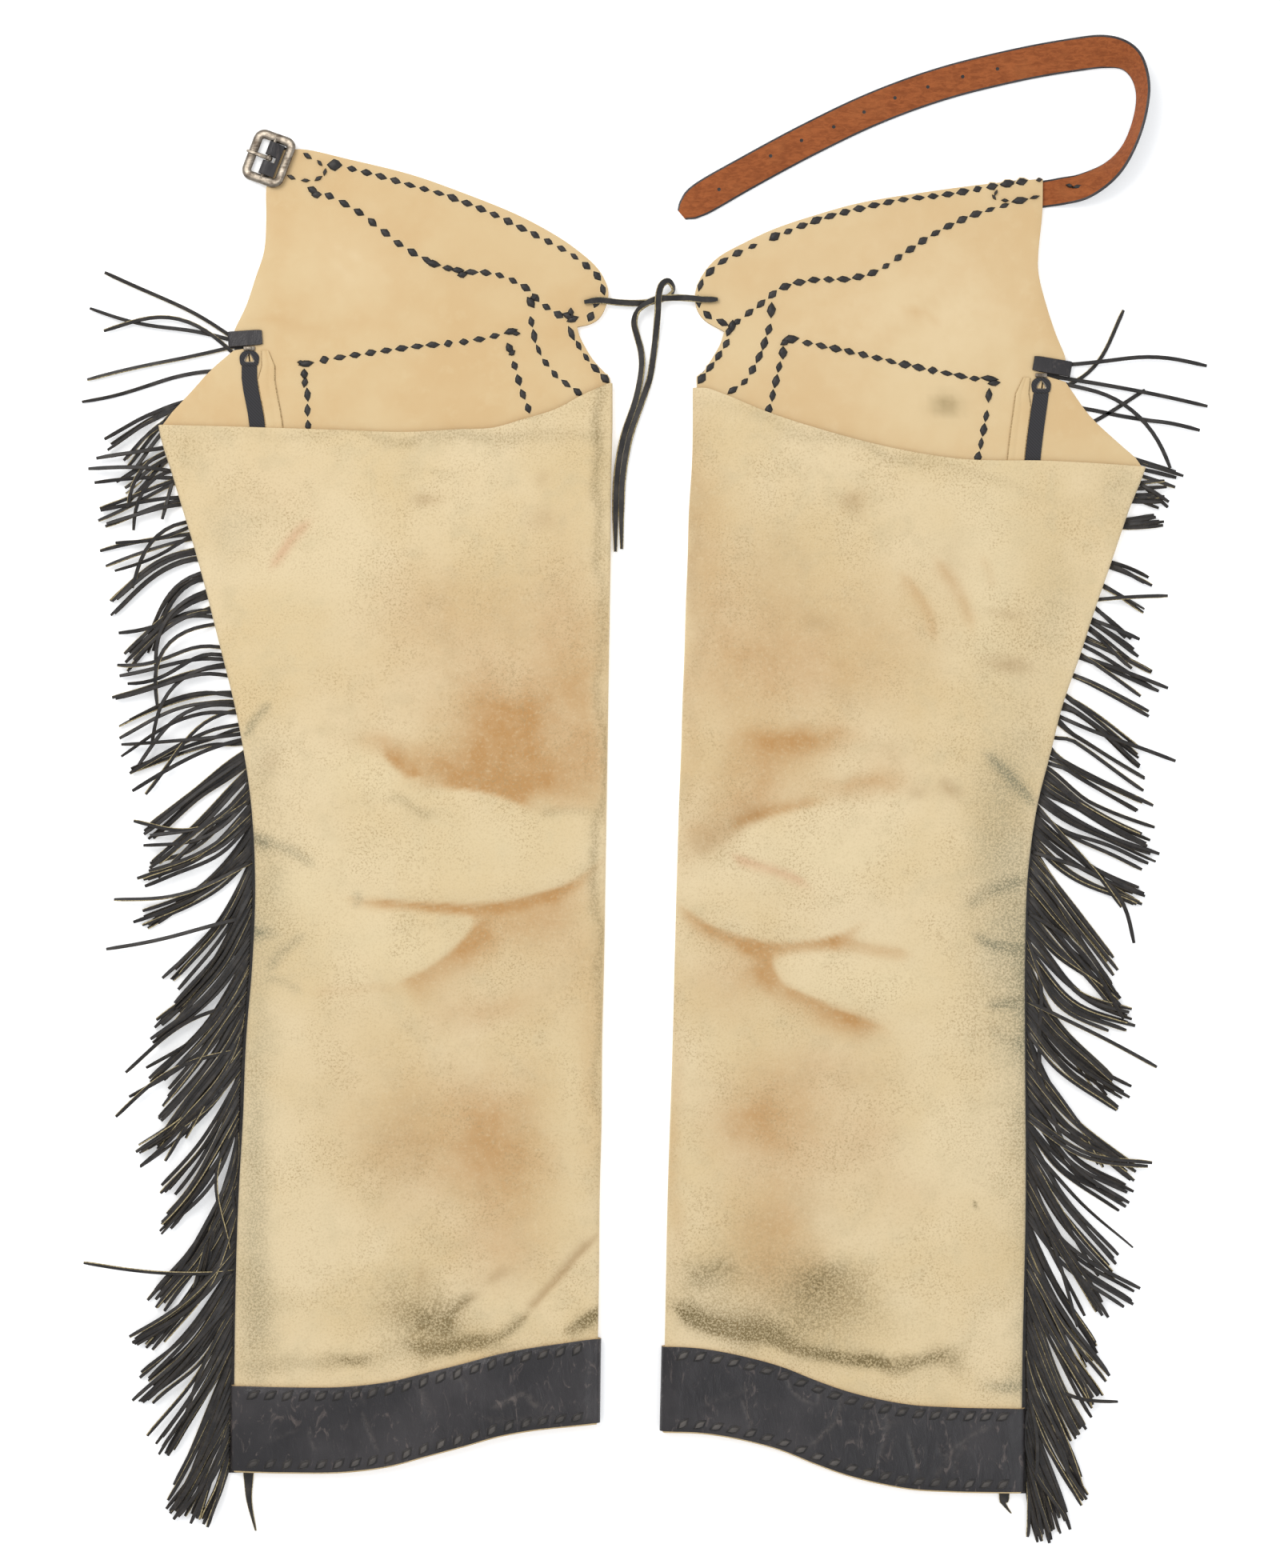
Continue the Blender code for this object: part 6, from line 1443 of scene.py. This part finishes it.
def make_slider(side):
    """The slider, as a rounded block with a raised bridge."""
    x, top = zip_end_top(side)
    y = top + 0.3 + SLIDER_SIZE[1] / 2
    bm = bmesh.new()
    for size, lift in (((9, 3, 1.5), 0.75), ((4, 2.2, 0.9), 1.9)):
        made = bmesh.ops.create_cube(bm, size=1)["verts"]
        bmesh.ops.scale(bm, vec=size, verts=made)
        bmesh.ops.translate(bm, vec=(x, y, ON_TOP + lift), verts=made)
    obj = from_bmesh(f"slider_{side}", bm, NICKEL)
    rounding = obj.modifiers.new("edges", "BEVEL")
    rounding.width, rounding.segments = 0.4 * MM, 3
    return settle(obj, 40)


# ---------------------------------------------------------------- fringe
def fall_path(side, start, end, length, turns, wave, phase):
    """The way a lock or strand takes from its root at 0, 0: its points and its directions in degrees."""
    t = np.linspace(0, 1, STRAND_STEPS)
    turn = start + (end - start) * ease(t, turns - 0.4, turns + 0.4) + wave * np.sin(5 * t + phase) * ease(t, 0, 0.5)
    ahead = np.radians(turn)
    steps = np.column_stack([SIGN[side] * np.cos(ahead), -np.sin(ahead)]) * length / (STRAND_STEPS - 1)
    return np.concatenate([[(0, 0)], np.cumsum(steps[:-1], axis=0)]), ahead


def strand_rings(side, points, lift, wrap, chance):
    """Rings along one strand, which stays low under the leg's edge and rises past it."""
    s = SIGN[side]
    wide, thick = STRAND_SIZE
    ahead = np.gradient(points, axis=0)
    ahead /= np.linalg.norm(ahead, axis=1)[:, None]
    roll, twist = chance.uniform(-22, 22), chance.normal() * 28
    centres, sides, widths = [], [], []
    for i, (place, way) in enumerate(zip(points, ahead)):
        t = i / (len(points) - 1)
        out = s * (place[0] - float(edge(side, place[1], "outer")))
        free = float(ease(out, 0.5, 14)) if wrap else float(ease(t, 0.02, 0.3))
        z = STRAND_LOW + (lift - STRAND_LOW) * free * (1 - 0.35 * ease(t, 0.75, 1))
        tilt = math.radians(roll + twist * t) * free
        centres.append((*place, max(z, 0.1 + thick / 2 + wide / 2 * abs(math.sin(tilt)))))
        sides.append((-way[1] * math.cos(tilt), way[0] * math.cos(tilt), math.sin(tilt)))
        widths.append(wide * (1 if t < 0.95 else 0.75))
    return band_rings(centres, sides, widths, thick, 0.42)


def strand_sides(chance):
    """Which of a strand's cut edges are pale: one, or neither."""
    one, other = (1, 2) if chance.random() < 0.5 else (2, 1)
    if chance.random() > PALE_SHARE:
        one = other = 2
    return (0, one, one, one, 0, other, other, other)


def make_fringe(side):
    """The strip beside the zip with its strands, which hang together in locks."""
    s = SIGN[side]
    chance = np.random.default_rng(41 + s)
    bm = bmesh.new()
    top, bottom = STRIP_TOP[side], STRIP_BOTTOM[side]
    y = np.linspace(bottom, top, 60)
    outer, inner = edge(side, y, "strip"), edge(side, y, "zip") - s * STRIP_INWARD
    rings = []
    for v, a, b in zip(y, outer, inner):
        rings.append([(a, v, 0.25), (a, v, STRIP_THICK - 0.3), (a - s * 0.4, v, STRIP_THICK), (b, v, STRIP_THICK),
                      (b, v, 0.05)])
    tube(bm, rings, (2, 2, 0, 0, 0))
    late = ease(np.linspace(0, 1, STRAND_STEPS), 0.45, 1)[:, None]
    at = STRANDS_FROM[side]
    while at > bottom:
        fall = {name: float(column(FALLS[side], name, at)) for name in Fall._fields[1:]}
        lock = max(1, int(round(fall["lock"] * chance.uniform(0.6, 1.4))))
        lean = chance.normal() * fall["spread"] * 0.75
        reach = chance.uniform(0.93, 1.04)
        level = chance.uniform(1.8, STRAND_TOP - 1.5)
        gather = fall["gather"] * chance.uniform(0.75, 1.08)
        wave, phase = fall["wave"] * chance.normal(), chance.uniform(0, 2 * math.pi)
        fan = chance.uniform(-0.2, 1.3)
        drawn = ease(np.linspace(0, 1, STRAND_STEPS), 0.25 * fall["by"], fall["by"])[:, None]
        pitch = STRAND_PITCH if at > THIN_ABOVE else CLOSE_PITCH
        middle = at - (lock - 1) / 2 * pitch
        for k in range(lock):
            if at < bottom:
                break
            if at > THIN_ABOVE and chance.random() < THIN_SHARE:
                at -= pitch
                continue
            root = np.array((float(edge(side, at, "strip")) - s * 1.0, at))
            centre = np.array((float(edge(side, middle, "strip")) - s * 1.0, middle))
            length = fall["length"] * reach * chance.uniform(0.92, 1.03)
            own = chance.normal() * 2
            lift, turns = level + 1.3 * (k % 3) - 0.6, 0.4
            start, end, held = fall["start"] + 0.6 * lean + own, fall["end"] + lean + own, gather
            if chance.random() < STRAY_SHARE:
                start, end = start + chance.normal() * 10, end + chance.normal() * 20
                lift, held = STRAND_TOP - 0.6, 0
            path, ahead = fall_path(side, start, end, length, turns, wave + chance.normal() * 1.5, phase)
            across = np.column_stack([s * np.sin(ahead), np.cos(ahead)])
            apart = ((lock - 1) / 2 - k) * fan + chance.normal() * 0.9
            points = path + centre + (root - centre) * (1 - held * drawn) + across * late * apart
            wrap = at < ZIP_TOP[side] + 8
            tube(bm, strand_rings(side, points, lift, wrap, chance), strand_sides(chance))
            at -= pitch
    for stray in STRAYS:
        if stray.side == side:
            root = np.array((float(edge(side, stray.y, "strip")) - s * 1.0, stray.y))
            path, _ = fall_path(side, stray.start, stray.end, stray.length, stray.turns, chance.normal() * 5, 0)
            rings = strand_rings(side, path + root, stray.lift, stray.y < ZIP_TOP[side] + 8, chance)
            tube(bm, rings, strand_sides(chance))
    tail = TAILS[side]
    middle = (tail.x1 + tail.x2) / 2
    path = smooth([(middle, bottom + 6, 1), (middle, bottom - 6, 1.1), (middle - 0.6 * s, (bottom + tail.tip_y) / 2, 1.3),
                   (tail.tip_x, tail.tip_y, 1)], 4)
    widths = np.interp(np.linspace(0, 1, len(path)), (0, 0.25, 0.6, 1), (9, 8, 5, 1.6))
    tube(bm, band_rings(path, [(1, 0, 0)] * len(path), widths, 1.3), BAND_SIDES)
    return settle(from_bmesh(f"strands_{side}", bm, THONG, STRAND_EDGE, STRAND_SIDE), 40)


# ---------------------------------------------------------------- belt and buckle
def make_belt():
    """The long strap, flesh side up, with a worn edge."""
    rows = smooth(BELT, 8)
    flat = rows[:, :2]
    ahead = np.gradient(flat, axis=0)
    bm = bmesh.new()
    rings = []
    for row, way in zip(rows, ahead):
        x, y, roll, width = row
        way = way / np.linalg.norm(way)
        roll = math.radians(max(roll, 0))
        side = np.array((-way[1] * math.cos(roll), way[0] * math.cos(roll), math.sin(roll)))
        forward = np.array((*way, 0))
        up = np.cross(forward, side)
        up = up / np.linalg.norm(up)
        centre = np.array((x, y, width / 2 * math.sin(roll) + LEATHER / 2 * math.cos(roll)))
        half, t = width / 2, LEATHER / 2
        rings.append([centre + side * a + up * b for a, b in (
            (half - 1.5, t), (-half + 1.5, t), (-half + 0.3, 0.7 * t), (-half, 0), (-half + 0.3, -0.75 * t),
            (-half + 1.2, -t), (half - 1.2, -t), (half - 0.3, -0.75 * t), (half, 0), (half - 0.3, 0.7 * t))])
    tube(bm, rings, (0, 1, 1, 1, 1, 1, 1, 1, 1, 1))
    bmesh.ops.recalc_face_normals(bm, faces=bm.faces)
    return settle(from_bmesh("strap_leather", bm, FLESH, TAB_LEATHER), 40)


def make_belt_holes():
    """The strap's punched holes, as cups with a turned-in rim and a black bottom that is painted shade of the open
    hole.
    """
    bm = bmesh.new()
    for x, y in BELT_HOLES:
        rings = []
        for radius, z in ((2.4, 2.0), (2.1, 2.12), (1.6, 2.05), (1.4, 2.02)):
            rings.append([(x + radius * math.cos(a), y + radius * math.sin(a), z)
                          for a in np.linspace(0, 2 * math.pi, 17)[:-1]])
        verts = grid(bm, rings, 0, closed=True)
        # Painted shade: the black disc at the cup's bottom stands for the shade down the hole.
        bm.faces.new(verts[-1]).material_index = 1
    bmesh.ops.recalc_face_normals(bm, faces=bm.faces)
    return settle(from_bmesh("strap_holes", bm, FLESH, THONG), 40)


def place_on_bar(obj, tilt):
    """Moves a piece made about the bar's middle to where the bar is."""
    turn = Euler((0, math.radians(tilt), math.radians(BUCKLE_TURN)), "XYZ").to_matrix().to_4x4()
    turn.translation = Vector((BUCKLE_AT[0], BUCKLE_AT[1], BAR_HEIGHT)) * MM
    obj.data.transform(turn)
    return obj


def make_buckle_strap():
    """The strap's end folded round the bar, with a slot for the tongue."""
    path = smooth(STRAP_PATH, 3)
    bm = bmesh.new()
    rows = []
    for i, (x, z) in enumerate(path):
        half = STRAP_HALF if i < 27 else float(np.interp(x, *zip(*STRAP_ROUND)))
        inner = min(SLOT_HALF, half * 0.6)
        stations = [*np.linspace(-half, -inner, 5), *np.linspace(inner, half, 5)]
        rows.append([(x, v, z - BAR_HEIGHT) for v in stations])
    verts = [[bm.verts.new(p) for p in row] for row in rows]
    for i, (upper, lower) in enumerate(zip(verts, verts[1:])):
        in_slot = max(path[i][0], path[i + 1][0]) <= SLOT_REACH + 0.01 and i > 2
        for k in range(9):
            if not (in_slot and k == 4):
                bm.faces.new((upper[k], upper[k + 1], lower[k + 1], lower[k]))
    bmesh.ops.recalc_face_normals(bm, faces=bm.faces)
    obj = thicken(from_bmesh("buckle_strap_leather", bm, TAB_LEATHER), LEATHER - 0.1)
    return place_on_bar(obj, 0)


def join(obj, other):
    union = obj.modifiers.new("join", "BOOLEAN")
    union.operation = "UNION"
    union.object = other
    settle(obj, 40)
    bpy.data.objects.remove(other)
    return obj


def make_buckle():
    """The buckle's cushioned frame with its bar."""
    wide, thick = FRAME_SIDE
    section = [(wide * a, thick * b) for a, b in (
        (-0.86, -1), (0.86, -1), (1, -0.8), (1, 0), (0.86, 0.5), (0.6, 0.82), (0.25, 0.98), (-0.25, 0.98),
        (-0.6, 0.82), (-0.86, 0.5), (-1, 0), (-1, -0.8))]
    rings = []
    half_x, half_y = FRAME_HALF
    for turn in range(4):
        cx, cy = (half_x - FRAME_CORNER) * (1, -1, -1, 1)[turn], (half_y - FRAME_CORNER) * (1, 1, -1, -1)[turn]
        for k in range(9):
            angle = math.radians(90 * turn + 90 * k / 8)
            way = (math.cos(angle), math.sin(angle))
            x, y = cx + FRAME_CORNER * way[0], cy + FRAME_CORNER * way[1]
            rings.append([(x + way[0] * a, y + way[1] * a, z) for a, z in section])
    bm = bmesh.new()
    grid(bm, rings + rings[:1], closed=True)
    bmesh.ops.remove_doubles(bm, verts=bm.verts, dist=0.001)
    bmesh.ops.create_cone(bm, cap_ends=True, segments=24, radius1=BAR_RADIUS, radius2=BAR_RADIUS,
                          depth=2 * half_y, matrix=Euler((math.radians(90), 0, 0)).to_matrix().to_4x4())
    bmesh.ops.recalc_face_normals(bm, faces=bm.faces)
    return place_on_bar(settle(from_bmesh("buckle", bm, NICKEL), 40), BUCKLE_TILT)


def make_tongue():
    thick, wide = TONGUE_RING_SIZE
    rings = []
    for k in range(24):
        a = 2 * math.pi * k / 24
        ring = []
        for r, y in ((-0.5, -0.8), (-0.5, 0.8), (-0.2, 1), (0.3, 1), (0.5, 0.8), (0.5, -0.8), (0.3, -1), (-0.2, -1)):
            radius = TONGUE_RING + r * thick
            ring.append((radius * math.cos(a), y * wide / 2, radius * math.sin(a)))
        rings.append(ring)
    bm = bmesh.new()
    grid(bm, rings + rings[:1], closed=True)
    bmesh.ops.remove_doubles(bm, verts=bm.verts, dist=0.001)
    path = smooth([(x, 0, z) for x, z, _ in TONGUE_PATH], 5)
    widths = smooth([(x, width) for x, _, width in TONGUE_PATH], 5)[:, 1]
    tube(bm, band_rings(path, [(0, 1, 0)] * len(path), widths, TONGUE_THICK, 0.5), (0,) * 8)
    bmesh.ops.recalc_face_normals(bm, faces=bm.faces)
    return place_on_bar(settle(from_bmesh("tongue_bar", bm, NICKEL), 40), BUCKLE_TILT)


# ---------------------------------------------------------------- the tie
def make_lace(side):
    """One flat thong of the tie, twisting along its way. Returns it and its centre points."""
    path = smooth([tuple(p) for p in LACES[side]], 4)
    turns = np.interp(np.linspace(0, 1, len(path)), np.linspace(0, 1, len(LACE_TURNS[side])), LACE_TURNS[side])
    ahead = np.gradient(path, axis=0)
    sides = []
    for way, turn in zip(ahead, turns):
        flat = np.array((-way[1], way[0], 0)) / np.hypot(way[0], way[1])
        tilt = math.radians(turn)
        up = np.cross(way / np.linalg.norm(way), flat)
        sides.append(flat * math.cos(tilt) + up * math.sin(tilt))
    widths = np.interp(np.linspace(0, 1, len(path)), (0, 0.03, 0.93, 1), (3.4, LACE_WIDE, LACE_WIDE, 2.6))
    bm = bmesh.new()
    tube(bm, band_rings(path, sides, widths, LACE_THICK, 0.5), BAND_SIDES)
    bmesh.ops.recalc_face_normals(bm, faces=bm.faces)
    lace = settle(from_bmesh(f"thong_{side}", bm, THONG, STRAND_EDGE, THONG), 40)
    return lace, path * MM


# ---------------------------------------------------------------- the stage
PHOTO_SIZE = (1600, 1960)
PIXEL = 0.00062
PHOTO_MIDDLE = (-0.0053, 0.0003)
LENS, SENSOR = 85, 36


def make_camera():
    """Straight above the middle of the photo's frame, which it fills from top to bottom."""
    camera = bpy.data.cameras.new("camera")
    camera.lens, camera.sensor_width = LENS, SENSOR
    obj = bpy.data.objects.new("camera", camera)
    height = PHOTO_SIZE[1] * PIXEL * LENS / SENSOR
    obj.location = (*PHOTO_MIDDLE, height + INSIDE_TOP * MM)
    bpy.context.scene.collection.objects.link(obj)
    bpy.context.scene.camera = obj


def make_lights():
    world = bpy.data.worlds.new("room")
    bpy.context.scene.world = world
    world.use_nodes = True
    world.node_tree.nodes["Background"].inputs["Color"].default_value = (0.95, 0.97, 1.0, 1)
    world.node_tree.nodes["Background"].inputs["Strength"].default_value = ROOM_LIGHT
    for name, place, size, power, tint in LAMPS:
        light = bpy.data.lights.new(name, "AREA")
        light.size, light.energy, light.color = size, power, tint
        obj = bpy.data.objects.new(name, light)
        obj.location = place
        obj.rotation_euler = (-Vector(place)).to_track_quat("-Z", "Y").to_euler()
        bpy.context.scene.collection.objects.link(obj)


def make_floor():
    bm = bmesh.new()
    bm.faces.new([bm.verts.new((x, y, -0.3)) for x, y in ((-6000, -6000), (6000, -6000), (6000, 6000), (-6000, 6000))])
    look = Look("floor", roughness=0.9)
    look.set("Base Color", look.mix(look.noise(3, 2), (0.93, 0.93, 0.93, 1), (0.97, 0.97, 0.97, 1)))
    look.set("Emission Color", (1, 1, 1, 1))
    look.set("Emission Strength", FLOOR_GLOW)
    from_bmesh("floor", bm, look.material)


ROOM_LIGHT = 0.72
FLOOR_GLOW = 0.3
LAMPS = (
    ("key", (-1.3, 1.5, 2.4), 1.6, 37, (1, 0.98, 0.95)),
    ("fill", (1.6, -0.8, 2.2), 2.2, 13, (0.96, 0.98, 1)),
)


LIP_LOOK = smooth_look("stitch_lip", PANEL_WEAR, PANEL_LIGHT, PANEL_LIGHT)

make_camera()
bpy.context.scene.view_settings.view_transform = "Standard"
make_lights()
make_floor()

for side in SIGN:
    lace, lace_path = make_lace(side)
    ride(lace, "root", f"lace_{side}")
    leg = ride(make_leg(side), "root", f"leg_{side}")
    cuff = ride(make_cuff(side), "root", f"cuff_{side}")
    yoke = ride(flat_piece(f"yoke_leather_{side}", YOKES[side], 0.45, 1.5, SUEDE, PANEL, EDGE), "root", f"yoke_{side}")
    guard = ride(flat_piece(f"guard_leather_{side}", GUARDS[side], 0.45, 1.5, SUEDE, PANEL, EDGE), "root",
                 f"inner_guard_{side}")
    patch = ride(flat_piece(f"patch_leather_{side}", PATCHES[side], 0.45, 1.5, SUEDE, PANEL, EDGE, steps=3), "root",
                 f"pocket_patch_{side}")
    lacing = [ride(piece, "root") for piece in (*make_lacing(side), make_outside_lacing(side), make_cuff_lacing(side, cuff))]
    tape = ride(make_tape(side), "root", f"zip_tape_{side}")
    teeth = ride(make_teeth(side), "root")
    facing = ride(make_facing(side), "root", f"zip_facing_{side}")
    tab = ride(make_tab(side), "root", f"fringe_tab_{side}")
    tape_end = ride(make_zip_end(side), "root", f"zip_end_{side}")
    slider = ride(make_slider(side), "root", f"zip_slider_{side}")
    strands = ride(make_fringe(side), "root", f"fringe_{side}")

belt = ride(make_belt(), "root", "belt_strap")
holes = ride(make_belt_holes(), "root")
buckle_strap = ride(make_buckle_strap(), "root", "buckle_strap")
buckle = ride(make_buckle(), "frame", "buckle_frame")
tongue = ride(make_tongue(), "tongue", "buckle_tongue")
